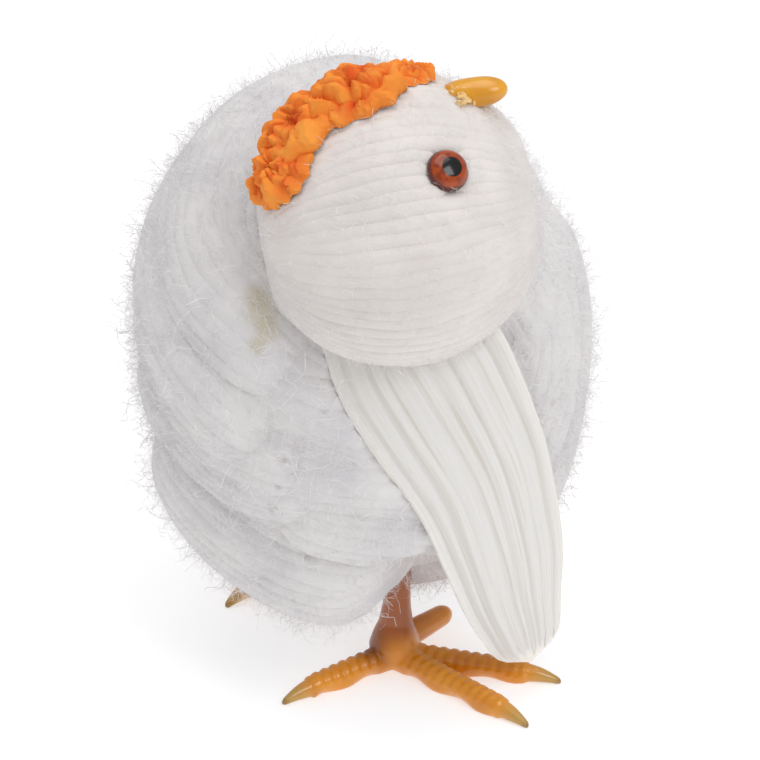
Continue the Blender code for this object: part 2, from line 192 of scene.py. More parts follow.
# %% Sockets and webs
class Wire:
    """One output socket; arithmetic on it adds Math nodes."""

    def __init__(self, web, socket):
        self.web, self.socket = web, socket

    def maths(self, operation, *values):
        return self.web.node("ShaderNodeMath", {"operation": operation}, values)

    def __add__(self, other):
        return self.maths("ADD", self, other)

    def __sub__(self, other):
        return self.maths("SUBTRACT", self, other)

    def __rsub__(self, other):
        return self.maths("SUBTRACT", other, self)

    def __mul__(self, other):
        return self.maths("MULTIPLY", self, other)

    def step(self, low, high):
        """Nought below low, one above high and smooth between them."""
        return self.web.node("ShaderNodeMapRange", {"interpolation_type": "SMOOTHSTEP"},
                             {"Value": self, "From Min": low, "From Max": high})


class Web:
    """A node tree and the one method that adds a node to it."""

    def __init__(self, tree):
        self.tree = tree

    def node(self, kind, settings=None, sockets=(), pick=0):
        made = self.tree.nodes.new(kind)
        for name, value in (settings or {}).items():
            setattr(made, name, value)
        for place, value in (sockets.items() if isinstance(sockets, dict) else enumerate(sockets)):
            self.feed(made.inputs[place], value)
        return Wire(self, made.outputs[pick])

    def feed(self, socket, value):
        if isinstance(value, Wire):
            self.tree.links.new(value.socket, socket)
        else:
            socket.default_value = value

    def blend(self, share, first, second):
        """One colour going over into another."""
        return self.node("ShaderNodeMix", {"data_type": "RGBA"}, {0: share, 6: first, 7: second}, 2)


def tone(red, green, blue):
    """A colour given as it looks on a screen, 0 to 255, as the shader wants it."""
    parts = [c / 255 for c in (red, green, blue)]
    return (*[c / 12.92 if c < 0.04045 else ((c + 0.055) / 1.055) ** 2.4 for c in parts], 1.0)


class Finish(Web):
    """A material whose shader takes constants first and patterns later."""

    def __init__(self, name, **constants):
        self.material = bpy.data.materials.new(name)
        self.material.use_nodes = True
        super().__init__(self.material.node_tree)
        self.shader = self.tree.nodes["Principled BSDF"]
        self.set(**constants)

    def set(self, **values):
        """Sets or links shader sockets, named with _ for each space."""
        for name, value in values.items():
            self.feed(self.shader.inputs[name.replace("_", " ")], value)

    def place(self):
        """Object coordinates, which are metres in the shared frame."""
        return self.node("ShaderNodeTexCoord", pick="Object")

    def away(self, spot):
        """Distance from a spot of the object."""
        return self.node("ShaderNodeVectorMath", {"operation": "DISTANCE"}, (self.place(), spot), "Value")

    def near(self, spot, reach):
        """One at a spot of the object, falling to nought at reach from it."""
        return 1 - self.away(spot).step(reach * 0.25, reach)

    def noise(self, scale, detail=2.0, where=None):
        return self.node("ShaderNodeTexNoise", None,
                         {"Vector": where or self.place(), "Scale": scale, "Detail": detail}, "Fac")

    def bump(self, height, depth, strength=1.0):
        self.set(Normal=self.node("ShaderNodeBump", None,
                                  {"Strength": strength, "Distance": depth, "Height": height}))


def floor_finish():
    finish = Finish("white floor", Roughness=0.7, Emission_Strength=0.55, Emission_Color=(1, 1, 1, 1))
    speck = finish.noise(60.0)
    finish.set(Base_Color=finish.blend(speck, tone(196, 196, 198), tone(200, 200, 200)))
    return finish.material


floor.data.materials.append(floor_finish())
print("floor finished")

# %% [markdown]
# ## Helpers for pieces
#
# A piece is a plain mesh at the origin that rides on the chick's one body and stands for a solid.


# %% Making and handing over a piece
def new_piece(name, points, faces, material):
    """A smooth shaded mesh object of points and faces."""
    mesh = bpy.data.meshes.new(name)
    mesh.from_pydata([tuple(p) for p in points], [], faces)
    mesh.validate()
    mesh.shade_smooth()
    mesh.materials.append(material)
    return placed(name, mesh)


def hand_over(piece, slot, *nodes):
    """Rides on the chick, hides the solids it stands for and prints its triangle count; the slot is not
    used.
    """
    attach(piece, "root")
    if nodes:
        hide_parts(*nodes)
    piece.data.calc_loop_triangles()
    print(piece.name, len(piece.data.loop_triangles), "triangles")
    return piece


def mark(piece, name, kind, values):
    """Gives every point of a piece a value or a vector of its own."""
    layer = piece.data.attributes.new(name, kind, "POINT")
    layer.data.foreach_set("vector" if kind == "FLOAT_VECTOR" else "value", np.ravel(values).astype(float))


def tube_faces(rings, sides, first=0):
    """Quads between closed rings of points, and a cap at both ends."""
    faces = []
    for j in range(rings - 1):
        for k in range(sides):
            a, b = first + j * sides + k, first + j * sides + (k + 1) % sides
            faces.append((a, b, b + sides, a + sides))
    for ring in (0, rings - 1):
        faces.append(tuple(first + ring * sides + k for k in range(sides)))
    return faces


def turn_out(mesh):
    """Turns the faces of closed shapes outwards."""
    edit = bmesh.new()
    edit.from_mesh(mesh)
    bmesh.ops.recalc_face_normals(edit, faces=edit.faces)
    edit.to_mesh(mesh)
    edit.free()


def evaluated(thing):
    """The mesh of an object with its modifiers worked out."""
    graph = bpy.context.evaluated_depsgraph_get()
    return bpy.data.meshes.new_from_object(thing.evaluated_get(graph), depsgraph=graph)


def start_tree(name, inputs):
    """A Geometry Nodes tree with named inputs, and a Wire for each."""
    group = bpy.data.node_groups.new(name, "GeometryNodeTree")
    kinds = {"Geometry": "NodeSocketGeometry", **inputs}
    for label, kind in kinds.items():
        group.interface.new_socket(label, in_out="INPUT", socket_type=kind)
    group.interface.new_socket("Geometry", in_out="OUTPUT", socket_type="NodeSocketGeometry")
    web = Web(group)
    source = group.nodes.new("NodeGroupInput")
    return web, {label: Wire(web, source.outputs[label]) for label in kinds}


def end_tree(web, geometry, material):
    """Realize, set the material and give the result out."""
    real = web.node("GeometryNodeRealizeInstances", None, {"Geometry": geometry})
    dressed = web.node("GeometryNodeSetMaterial", None, {"Geometry": real, "Material": material})
    out = web.tree.nodes.new("NodeGroupOutput")
    web.feed(out.inputs["Geometry"], dressed)
    return web.tree


def run_tree(name, base, tree, values):
    """Runs a tree on a base object, once, and keeps the result as a plain mesh."""
    modifier = base.modifiers.new(name, "NODES")
    modifier.node_group = tree
    for item in tree.interface.items_tree:
        if item.in_out == "INPUT" and item.name in values:
            modifier[item.identifier] = values[item.name]
    mesh = evaluated(base)
    bpy.data.objects.remove(base, do_unlink=True)
    mesh.name = name
    return placed(name, mesh)


def skin_tree(node):
    """A search tree over a solid's faces, for rays."""
    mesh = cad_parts[node].data
    return BVHTree.FromPolygons([v.co for v in mesh.vertices], [p.vertices[:] for p in mesh.polygons])


wing_skins = [skin_tree(name) for name in ("wing_left", "wing_right")]
print("pieces of the frame:", {name: thing.name for name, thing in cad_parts.items()})

# %% [markdown]
# ## The hanks
#
# A hank is a flat bundle of a dozen strands laid side by side over the egg, and each one dives under
# its neighbours where it ends. The solid shows every hank as one rounded swell. Here each swell is
# laid with strands: a strand keeps its distance from the hank's middle line, takes its height from
# the same rounded section as the solid, and is spaced by the length over that section, so that the
# steep sides are covered as closely as the top. Strands could also be a bump pattern on the swell,
# but then the outline and the deep seams would stay smooth.

# %% Middle lines of the hanks
HANKS = {
    "shoulder": (((96, 66), (148, 57), (191, 44), (214, 34), (238, 27)), 0.95, 1.25),
    "outer_shoulder": (((140, 44), (168, 36), (192, 26), (212, 16), (232, 6)), 0.95, 1.25),
    "upper_side": (((150, 16), (180, 12), (206, 8), (226, -2), (246, -6)), 0.82, 0.85),
    "lower_side": (((160, -8), (188, -9), (214, -10), (236, -14), (250, -14)), 0.82, 0.7),
    "belly": (((205, -32), (226, -42), (248, -50), (268, -52)), 1.05, 1.15),
    "breast": (((222, 16), (244, 20), (266, 14), (290, 6), (310, 2)), 1.00, 0.75),
    "breast_low": (((256, -8), (274, -10), (296, -14)), 0.77, 0.75),
    "breast_under": (((258, -24), (274, -27), (292, -30)), 0.68, 0.75),
    "flank": (((338, 38), (342, 20), (334, 2), (318, -18)), 1.05, 0.9),
    "rump": (((10, 24), (8, 6), (4, -16), (344, -36)), 1.09, 0.95),
    "back": (((60, 66), (40, 40), (36, 10), (34, -18), (30, -40)), 1.09, 0.9),
    "back_left": (((84, 44), (70, 16), (66, -12), (62, -38)), 1.09, 0.9),
    "far_side": (((118, 30), (104, 6), (98, -18), (100, -40)), 1.09, 0.85),
    "far_low": (((140, -10), (136, -26), (140, -44)), 1.00, 0.85),
    "underside": (((10, -50), (20, -68), (100, -76), (160, -62)), 1.00, 0.9),
}
STEPS = 12
hank_lines = {name: (units(smooth_path([direction(*p) for p in path], STEPS)),
                     width * HANK_WIDTH / 2, height * HANK_RELIEF)
              for name, (path, width, height) in HANKS.items()}


def egg(rows):
    """Distance from the body's middle to the bare egg along each direction."""
    return 1 / np.sqrt(((rows / np.array(BODY_HALF)) ** 2).sum(axis=1))


def swell(rows, line):
    """Height of one hank over the egg along each direction."""
    samples, half, height = line
    away = np.arccos(np.clip((rows @ samples.T).max(axis=1), -1, 1)) * BODY_GIRTH
    return height * np.clip(1 - (away / half) ** 2, 0, None)


def leg_dips(rows):
    """How far the wool is drawn in round each leg, and in front of the near one."""
    dip = np.zeros(len(rows))
    for spot, depth, reach in LEG_DIPS:
        away = angles_from(rows, spot.normalized()) * BODY_GIRTH / reach
        dip += depth * np.clip(1 - away ** 2, 0, None) ** 2
    return dip


ANKLE_DIP_DEPTHS = (3.0 * MM, 6.0 * MM)
ANKLE_DIP_REACH = 13.0 * MM
FRONT_DIP = (direction(293, -49), 9.0 * MM, 12.5 * MM)
LEG_DIPS = [(Vector((ankle.x, ankle.y, BODY_MIDDLE.z - BODY_HALF.z)) - BODY_MIDDLE, depth, ANKLE_DIP_REACH)
            for ankle, depth in zip(ANKLES.values(), ANKLE_DIP_DEPTHS)]
LEG_DIPS.append(FRONT_DIP)


def wool_skin(rows):
    """Distance to the skin of all the hanks together."""
    swells = np.max([swell(rows, line) for line in hank_lines.values()], axis=0)
    return egg(rows) + swells - leg_dips(rows)


print(len(HANKS), "hanks")

# %% [markdown]
# ## Room for the wings and the head
#
# The wings lie pressed into the wool, and the head sits in it. A ray from the egg's middle finds how
# far out the wool may reach under a wing. Along a strand that limit is eased in from both sides,
# because yarn under a wing slopes down to it and isn't cut off.

# %% Limits
WING_ROOM = 0.35 * MM
EASE_SLOPE = 0.8


def wing_limit(rows):
    """How far from the body's middle each direction meets the inside of a wing."""
    limit = np.full(len(rows), 1.0)
    for i, row in enumerate(rows):
        for skin in wing_skins:
            hit = skin.ray_cast(BODY_MIDDLE, Vector(row))
            if hit[0]:
                limit[i] = min(limit[i], hit[3] - WING_ROOM)
    return limit


def eased(limit, step):
    """A limit along a line, never steeper than the slope."""
    for order in (range(1, len(limit)), range(len(limit) - 2, -1, -1)):
        for i in order:
            beside = i - 1 if order.step > 0 else i + 1
            limit[i] = min(limit[i], limit[beside] + EASE_SLOPE * step)
    return limit


def runs(keep, least=5):
    """First and last place of each run of kept points."""
    edges = np.flatnonzero(np.diff(np.concatenate([[0], keep.astype(int), [0]])))
    return [(a, b) for a, b in zip(edges[::2], edges[1::2]) if b - a >= least]


# %% [markdown]
# ## Strands of the body
#
# The strands of a hank lie a little under two millimetres apart. A strand's middle lies nearly its
# own radius under the skin of its hank, so that its top stands just proud, and its ends gather and
# dive. Where a strand would be buried deep under other hanks or inside the head, it is left out.

# %% Lay the body's strands
YARN_RADIUS = 2.5 * MM
YARN_PITCH = 1.80 * MM
YARN_STEP = 2.0 * MM
STRAND_PROUD = 0.35 * MM
END_DIVE = 1.6 * MM
BURIED = 4.0 * MM
HEAD_SEAT = 1.5 * MM
FLOOR_ROOM = 1.5 * MM
chance = np.random.default_rng(7)
# noise_vector shifts its pattern by a seed, which is the time of day when none is set
noise.seed_set(7)


def wobble(rows, amount, scale, seed):
    """Slow sideways drift of a strand, as a handmade thing has."""
    shift = Vector((seed, 0, 0))
    return np.array([noise.noise_vector(Vector(row) * scale + shift) for row in rows]) * amount


def extended(samples, reach):
    """A line over the ball with a stretch added at both ends, and how far each point is past them."""
    count = int(reach / YARN_STEP)
    angles = (np.arange(1, count + 1) * YARN_STEP / BODY_GIRTH)[:, None]
    ends = []
    for tip, inner in ((samples[0], samples[2]), (samples[-1], samples[-3])):
        ahead = tip - inner
        ahead = ahead - tip * (ahead @ tip)
        ahead = ahead / np.linalg.norm(ahead)
        ends.append(np.cos(angles) * tip + np.sin(angles) * ahead)
    past = np.arange(1, count + 1) / count
    line = np.vstack([ends[0][::-1], samples, ends[1]])
    return line, np.concatenate([past[::-1], np.zeros(len(samples)), past])


def offsets_over(half, height):
    """Places across a hank, equal lengths apart over its rounded section."""
    across = np.linspace(-half, half, 400)
    rise = height * (1 - (across / half) ** 2)
    gone = np.concatenate([[0], np.cumsum(np.hypot(np.diff(across), np.diff(rise)))])
    count = int(round(gone[-1] / YARN_PITCH))
    return np.interp((np.arange(count) + 0.5) / count * gone[-1], gone, across)


def body_strands():
    """Every strand as its points and a radius share for each."""
    strands = []
    for number, (samples, half, height) in enumerate(hank_lines.values()):
        middle = units(even(samples * BODY_GIRTH, YARN_STEP))
        line, past = extended(middle, half + 3 * MM)
        along = np.gradient(line, axis=0)
        side = units(np.cross(line, along))
        for offset in offsets_over(half * 0.98, height):
            gather = 1 - 0.45 * past ** 1.5
            angle = (offset * gather + chance.normal(0, 0.10) * MM)[:, None] / BODY_GIRTH
            rows = units(line * np.cos(angle) + side * np.sin(angle))
            rows = units(rows + wobble(rows, 0.008, 7.0, number + offset / half))
            own = egg(rows) + swell(rows, (samples, half, height)) - leg_dips(rows)
            distance = own - YARN_RADIUS + STRAND_PROUD - END_DIVE * past ** 2
            limit = eased(wing_limit(rows), YARN_STEP) - YARN_RADIUS
            distance = np.minimum(distance, limit)
            skin = np.minimum(wool_skin(rows), limit)
            points = BODY_ROW + rows * distance[:, None]
            outside_head = np.linalg.norm(points - HEAD_ROW, axis=1) > HEAD_RADIUS - HEAD_SEAT
            keep = outside_head & (skin - distance < BURIED) & (points[:, 2] > FLOOR_ROOM)
            thick = 1 + 0.06 * np.sin(np.arange(len(rows)) * 0.35 + chance.uniform(0, 6))
            for a, b in runs(keep):
                strands.append((points[a:b], thick[a:b]))
    return strands


laid = body_strands()
print(len(laid), "strands,", sum(len(points) for points, _ in laid), "points")

# %% [markdown]
# ## Round yarn from the strands
#
# Old knitting yarn that has lain under dust and fingers is felted: its twist is lost in its own down,
# and only a soft round shows. The strands become curves, and one Geometry Nodes tree sweeps a circle
# along each. The circle is wider than the spacing, so that neighbours meet in shallow grooves.

# %% The yarn tree
def yarn_tree():
    """A round tube along every curve, as thick as the curve says."""
    web, given = start_tree("yarn", {"Yarn Radius": "NodeSocketFloat", "Sides": "NodeSocketInt",
                                     "Material": "NodeSocketMaterial"})
    ring = web.node("GeometryNodeCurvePrimitiveCircle", None, {"Resolution": given["Sides"], "Radius": 1.0})
    thick = web.node("GeometryNodeInputRadius")
    tube = web.node("GeometryNodeCurveToMesh", None,
                    {"Curve": given["Geometry"], "Profile Curve": ring,
                     "Scale": given["Yarn Radius"] * thick, "Fill Caps": True})
    smooth = web.node("GeometryNodeSetShadeSmooth", None, {"Geometry": tube})
    return end_tree(web, smooth, given["Material"])


def strand_curves(name, strands):
    """A curve object with one open spline for each strand."""
    data = bpy.data.curves.new(name, "CURVE")
    data.dimensions = "3D"
    for points, thick in strands:
        spline = data.splines.new("POLY")
        spline.points.add(len(points) - 1)
        spline.points.foreach_set("co", np.column_stack([points, np.ones(len(points))]).ravel())
        spline.points.foreach_set("radius", thick)
    return placed(name, data)


yarn_maker = yarn_tree()
print("yarn tree:", len(yarn_maker.nodes), "nodes")

# %% [markdown]
# ## The finish of the wool
#
# White yarn is matt and light bounces about in it, so its grooves are hardly darker than its tops.
# A pale colour, a high roughness and a little sheen give that. Subsurface light is left out, because
# strands that overlap inside stop it at every groove and draw dark lines there. The colour is an
# uneven white, a little warmer in the head. Yellowed glue beside the head and grey dirt in some seams
# are put where the photograph shows them, and so is painted shade: a grey-pink darkening of the wool
# in the shaded recess beside the near leg. Each is a soft spot round a point that a ray through its
# pixel finds on the wool.


# %% Where the photograph's pixels fall
def photo_ray(px, py):
    """Start and direction of the ray through a pixel of the photograph."""
    eye = VIEW_MIDDLE + TO_VIEWER * VIEW_DISTANCE
    spot = (VIEW_MIDDLE + PHOTO_RIGHT * (px - PHOTO_SIDE / 2) * PIXEL
            - PHOTO_UP * (py - PHOTO_SIDE / 2) * PIXEL)
    return eye, (spot - eye).normalized()


wool_skins = [skin_tree(name) for name in ("wool_body", "wool_head")]


def on_wool(px, py):
    """The nearest point of the wool behind a pixel."""
    start, ahead = photo_ray(px, py)
    hits = [skin.ray_cast(start, ahead) for skin in wool_skins]
    return min((hit for hit in hits if hit[0]), key=lambda hit: hit[3])[0]


# %% Wool materials
# spots as pixel and reach in millimetres, then share, shade and whether it is flecked
STAINS = {
    "glue": (((258, 296, 2.86), (262, 312, 3.38), (268, 330, 2.6), (258, 345, 2.08)),
             0.5, (190, 178, 142), False),
    "dirt": (((199, 396, 1.2), (284, 462, 1.6), (292, 465, 1.4), (279, 486, 0.9), (276, 507, 2.2),
              (300, 524, 1.3), (275, 545, 1.4), (308, 555, 1.4), (351, 557, 1.0)),
             0.32, (124, 116, 106), True),
    # painted shade: the wool in the recess beside the near leg, under the body, is darkened grey-pink
    "painted_shade_by_leg": (((418, 574, 4.0), (430, 562, 4.5)), 0.75, (142, 124, 128), False),
}


def wool_finish(name, white, grey):
    """White yarn with uneven tone, faint fibre relief, its stains and a patch of painted shade beside the
    near leg.
    """
    finish = Finish(name, Roughness=0.95, Sheen_Weight=0.20, Sheen_Roughness=0.6, Specular_IOR_Level=0.10)
    colour = finish.blend(finish.noise(90.0).step(0.35, 0.7), white, grey)
    fleck = finish.noise(900.0).step(0.40, 0.65)
    # each spot blends the colour towards its tone: glue and dirt stains, and the painted shade by the leg
    for spots, share, shade, flecked in STAINS.values():
        for px, py, reach in spots:
            mask = finish.near(on_wool(px, py), reach * MM) * share
            colour = finish.blend(mask * fleck if flecked else mask, colour, tone(*shade))
    finish.set(Base_Color=colour)
    finish.bump(finish.noise(2600.0, 3.0), 0.08 * MM, 0.4)
    return finish.material


body_wool = wool_finish("body wool", tone(225, 222, 221), tone(211, 208, 210))
head_wool = wool_finish("head wool", tone(225, 219, 214), tone(216, 210, 206))
print("wool finishes made")

# %% [markdown]
# ## The wool under the strands
#
# Between the strands the eye meets more wool and never a gap. One closed ball with the same swells,
# a little inside the strands, is that lower layer. It has faint grooves from pole to pole, as wound
# yarn has, and it is drawn in under the wings. The fuzz will grow from it too.

# %% Body core
CORE_SINK = 0.85 * MM
CORE_WING_ROOM = 1.2 * MM
CORE_COLUMNS = 200
CORE_ROWS = 120
GROOVES = CORE_COLUMNS / 4
GROOVE_DEPTH = 0.12 * MM


def ball_rows(columns, rows):
    """Directions of a ball's points, ring by ring from the lowest, with a point at each pole."""
    rings = []
    for j in range(1, rows):
        e = math.pi * (j / rows - 0.5)
        a = 2 * math.pi * np.arange(columns) / columns
        height = np.full(columns, math.sin(e))
        rings.append(np.stack([np.cos(e) * np.cos(a), np.cos(e) * np.sin(a), height], 1))
    return np.vstack([[[0, 0, -1]], *rings, [[0, 0, 1]]])


def ball_faces(columns, rows):
    """Faces over those points, pointing out."""
    last = (rows - 1) * columns + 1
    faces = []
    for k in range(columns):
        after = (k + 1) % columns
        faces.append((0, 1 + after, 1 + k))
        faces.append((last, last - columns + k, last - columns + after))
        for j in range(rows - 2):
            low = 1 + j * columns
            faces.append((low + k, low + after, low + columns + after, low + columns + k))
    return faces


def make_body_core():
    rows = ball_rows(CORE_COLUMNS, CORE_ROWS)
    groove = GROOVE_DEPTH * np.cos(np.arctan2(rows[:, 1], rows[:, 0]) * GROOVES)
    distance = wool_skin(rows) - CORE_SINK + groove * np.sqrt(1 - rows[:, 2] ** 2)
    distance = np.minimum(distance, wing_limit(rows) - CORE_WING_ROOM)
    points = BODY_ROW + rows * distance[:, None]
    return new_piece("body_wool_core", points, ball_faces(CORE_COLUMNS, CORE_ROWS), body_wool)


body_core = hand_over(make_body_core(), "wool", "wool_body")

# %% Sweep the body's yarn, in two pieces
YARN_SIDES = 14
half_way = len(laid) // 2
for name, part in (("body_yarn_left", laid[:half_way]), ("body_yarn_back", laid[half_way:])):
    yarn = run_tree(name, strand_curves(name, part), yarn_maker,
                    {"Yarn Radius": YARN_RADIUS, "Sides": YARN_SIDES, "Material": body_wool})
    hand_over(yarn, "wool")

# %% [markdown]
# ## The head
#
# The head is wound like a ball of yarn, always through the same two places, one on each side and
# nearly level. So its strands are meridians between those two poles, thinner where they crowd. The
# wool is pressed in round each eye and makes room for it.

# %% Head core and strands
WOUND_POLE = direction(188, -6)
HEAD_STRANDS = 66
HEAD_YARN_RADIUS = 1.95 * MM
HEAD_COLUMNS = 120
HEAD_ROWS = 80
HEAD_SINK = 1.0 * MM
EYE_DIP = 1.6 * MM
EYE_DIP_REACH = 3.9 * MM
POLE_GAP = 0.10
EYE_SPOTS = {"eye_left": direction(300, 46), "eye_right": direction(88, 50)}
head_turn = np.array(WOUND_POLE.to_track_quat("Z", "Y").to_matrix())


def eye_dips(rows):
    """How far the wool is pressed in round each eye."""
    dip = np.zeros(len(rows))
    for spot in EYE_SPOTS.values():
        away = angles_from(rows, spot) * HEAD_RADIUS
        dip += EYE_DIP * np.clip(1 - (away / EYE_DIP_REACH) ** 2, 0, None) ** 0.5
    return dip


def head_strands():
    strands = []
    for k in range(HEAD_STRANDS):
        plan = 2 * math.pi * k / HEAD_STRANDS + chance.normal(0, 0.006)
        angles = np.linspace(POLE_GAP, math.pi - POLE_GAP, int(HEAD_RADIUS * 2.94 / YARN_STEP))
        out = np.sin(angles)
        rows = np.stack([out * math.cos(plan), out * math.sin(plan), np.cos(angles)], 1)
        rows = units(rows @ head_turn.T)
        rows = units(rows + wobble(rows, 0.012, 5.0, 40 + k * 0.11))
        ride = chance.normal(0, 0.05) * MM
        distance = HEAD_RADIUS - HEAD_YARN_RADIUS + STRAND_PROUD + ride - eye_dips(rows)
        crowd = np.clip(np.sin(angles) * 2.2, 0.35, 1.0)
        distance = distance - (1 - crowd) * 0.5 * MM
        points = HEAD_ROW + rows * distance[:, None]
        strands.append((points, crowd * (1 + 0.05 * np.sin(angles * 9 + k))))
    return strands


def make_head_core():
    rows = ball_rows(HEAD_COLUMNS, HEAD_ROWS)
    points = HEAD_ROW + rows * (HEAD_RADIUS - HEAD_SINK - eye_dips(rows))[:, None]
    return new_piece("head_wool_core", points, ball_faces(HEAD_COLUMNS, HEAD_ROWS), head_wool)


head_core = hand_over(make_head_core(), "wool", "wool_head")
head_yarn = run_tree("head_yarn", strand_curves("head_yarn", head_strands()), yarn_maker,
                     {"Yarn Radius": HEAD_YARN_RADIUS, "Sides": YARN_SIDES, "Material": head_wool})
hand_over(head_yarn, "wool")

# %% [markdown]
# ## Fuzz
#
# Fine fibres stand off the yarn all over and give the chick its soft outline. Particle hair would be
# the usual way, but it isn't exported. Here a Geometry Nodes tree scatters points on the core and
# puts one of a few curled ribbons on each, tilted and spun at random. A ribbon is two triangles for
# each of its few steps, and it is finer than a pixel, so tens of thousands of them read as down.

# %% The fuzz tree
RIBBON_STEPS = 4
RIBBON_KINDS = 5
RIBBON_WIDTH = 0.013
FUZZ_LIFT = 1.1 * MM
EYE_CLEARING = 2.7 * MM


def ribbon(web, number, width):
    """One curled fibre a unit long, as an instance."""
    pick = np.random.default_rng(100 + number)
    line = web.node("GeometryNodeCurvePrimitiveLine", None, {"Start": (0, 0, 0), "End": (0, 0, 1)})
    line = web.node("GeometryNodeResampleCurve", None, {"Curve": line, "Count": RIBBON_STEPS + 1})
    t = web.node("GeometryNodeSplineParameter", pick="Factor")
    bends = []
    for _ in range(2):
        waves, start, size = pick.uniform(3.0, 7.5), pick.uniform(0, 6.3), pick.uniform(0.10, 0.30)
        wave = t * waves + start
        bends.append((wave.maths("SINE", wave) - math.sin(start)) * size)
    droop = t * t * -pick.uniform(0.05, 0.45)
    shift = web.node("ShaderNodeCombineXYZ", None, {"X": bends[0], "Y": bends[1], "Z": droop})
    line = web.node("GeometryNodeSetPosition", None, {"Geometry": line, "Offset": shift})
    flat = web.node("GeometryNodeCurvePrimitiveLine", None, {"Start": (0, 0, 0), "End": (1, 0, 0)})
    strip = web.node("GeometryNodeCurveToMesh", None,
                     {"Curve": line, "Profile Curve": flat, "Scale": width})
    return web.node("GeometryNodeGeometryToInstance", None, {"Geometry": strip})


def random_value(web, low, high, seed):
    return web.node("FunctionNodeRandomValue", {"data_type": "FLOAT"}, {2: low, 3: high, 8: seed}, 1)


def fuzz_tree():
    """Curled ribbons scattered over a surface."""
    web, given = start_tree("wool_fuzz", {"Density": "NodeSocketFloat", "Length": "NodeSocketFloat",
                                          "Ribbon Width": "NodeSocketFloat", "Least Tilt": "NodeSocketFloat",
                                          "Lift": "NodeSocketFloat", "Seed": "NodeSocketInt",
                                          "Material": "NodeSocketMaterial"})
    cover = web.node("GeometryNodeInputNamedAttribute", {"data_type": "FLOAT"}, {"Name": "fuzz_cover"})
    scatter = web.tree.nodes.new("GeometryNodeDistributePointsOnFaces")
    web.feed(scatter.inputs["Mesh"], given["Geometry"])
    web.feed(scatter.inputs["Density"], given["Density"] * cover)
    web.feed(scatter.inputs["Seed"], given["Seed"])
    points, turned = Wire(web, scatter.outputs["Points"]), Wire(web, scatter.outputs["Rotation"])
    raised = web.node("ShaderNodeVectorMath", {"operation": "SCALE"},
                      {"Vector": Wire(web, scatter.outputs["Normal"]), "Scale": given["Lift"]})
    points = web.node("GeometryNodeSetPosition", None, {"Geometry": points, "Offset": raised})
    kinds = web.tree.nodes.new("GeometryNodeJoinGeometry")
    for number in range(RIBBON_KINDS):
        web.tree.links.new(ribbon(web, number, given["Ribbon Width"]).socket, kinds.inputs[0])
    long_ones = random_value(web, 0.0, 1.0, 11)
    size = (long_ones * long_ones * long_ones * 1.5 + 0.45) * given["Length"]
    which = web.node("FunctionNodeRandomValue", {"data_type": "INT"}, {4: 0, 5: RIBBON_KINDS - 1, 8: 5}, 2)
    hairs = web.node("GeometryNodeInstanceOnPoints", None,
                     {"Points": points, "Instance": Wire(web, kinds.outputs[0]), "Pick Instance": True,
                      "Instance Index": which, "Rotation": turned, "Scale": size})
    spin = web.node("ShaderNodeCombineXYZ", None, {"Z": random_value(web, 0, 2 * math.pi, 21)})
    hairs = web.node("GeometryNodeRotateInstances", None,
                     {"Instances": hairs, "Rotation": spin, "Local Space": True})
    lean = web.node("ShaderNodeCombineXYZ", None, {"X": random_value(web, given["Least Tilt"], 1.45, 31)})
    hairs = web.node("GeometryNodeRotateInstances", None,
                     {"Instances": hairs, "Rotation": lean, "Local Space": True})
    return end_tree(web, hairs, given["Material"])


# %% [markdown]
# The fibres' own finish is plain white. They are too thin for stains, but not for uneven tone.


# %% Grow the fuzz
def fuzz_finish():
    finish = Finish("wool fuzz", Roughness=0.9, Specular_IOR_Level=0.2)
    finish.set(Base_Color=finish.blend(finish.noise(120.0), tone(238, 235, 234), tone(224, 221, 222)))
    return finish.material


def fuzz_base(name, source, cover):
    """A copy of a core that says how densely each of its points is covered."""
    base = placed(name, source.data.copy())
    mark(base, "fuzz_cover", "FLOAT", cover(np.array([vertex.co for vertex in source.data.vertices])))
    return base


def body_cover(points):
    """No fuzz inside the head, under a wing or in the dip before the near leg."""
    rows = units(points - BODY_ROW)
    from_head = np.linalg.norm(points - HEAD_ROW, axis=1)
    open_air = wing_limit(rows) > 0.5
    dip, _, reach = FRONT_DIP
    off_dip = angles_from(rows, dip.normalized()) > 0.75 * reach / BODY_GIRTH
    return (open_air & off_dip & (from_head > HEAD_RADIUS + 0.3 * MM)).astype(float)


def head_cover(points):
    """No fuzz inside the body or on the eyes."""
    rows = units(points - HEAD_ROW)
    from_body = points - BODY_ROW
    outside = np.linalg.norm(from_body, axis=1) > wool_skin(units(from_body)) - 0.5 * MM
    clear = EYE_CLEARING / HEAD_RADIUS
    off_eyes = np.all([angles_from(rows, spot) > clear for spot in EYE_SPOTS.values()], axis=0)
    return (outside & off_eyes).astype(float)


fuzz_material = fuzz_finish()
fuzz = fuzz_tree()
# name, core, cover, fibres a square millimetre, length in millimetres, seed, least tilt in radians
FUZZ = (("body_fuzz", body_core, body_cover, 2.1, 3.3, 1, 0.75),
        ("body_down", body_core, body_cover, 2.1, 2.2, 2, 0.45),
        ("head_fuzz", head_core, head_cover, 4.6, 1.9, 3, 0.80))
for name, core, cover, per_square_mm, length, seed, tilt in FUZZ:
    piece = run_tree(name, fuzz_base(name, core, cover), fuzz,
                     {"Density": per_square_mm / MM ** 2, "Length": length * MM, "Seed": seed,
                      "Ribbon Width": RIBBON_WIDTH, "Least Tilt": tilt, "Lift": FUZZ_LIFT,
                      "Material": fuzz_material})
    hand_over(piece, "wool")

# %% [markdown]
# ## The comb
#
# The comb is one strip of thin orange crepe paper, gathered into puffs and glued along the head.
# Crumpled paper is flat between sharp creases. Its broad facets come from a height folded along a few
# random directions, each a zigzag, and narrow creases are pressed in along random planes. A puff has
# a skirt and a smaller crown of the same paper. Each is a sheet that billows round its middle and
# comes down to a ragged hem, and it gets a paper's thickness afterwards.


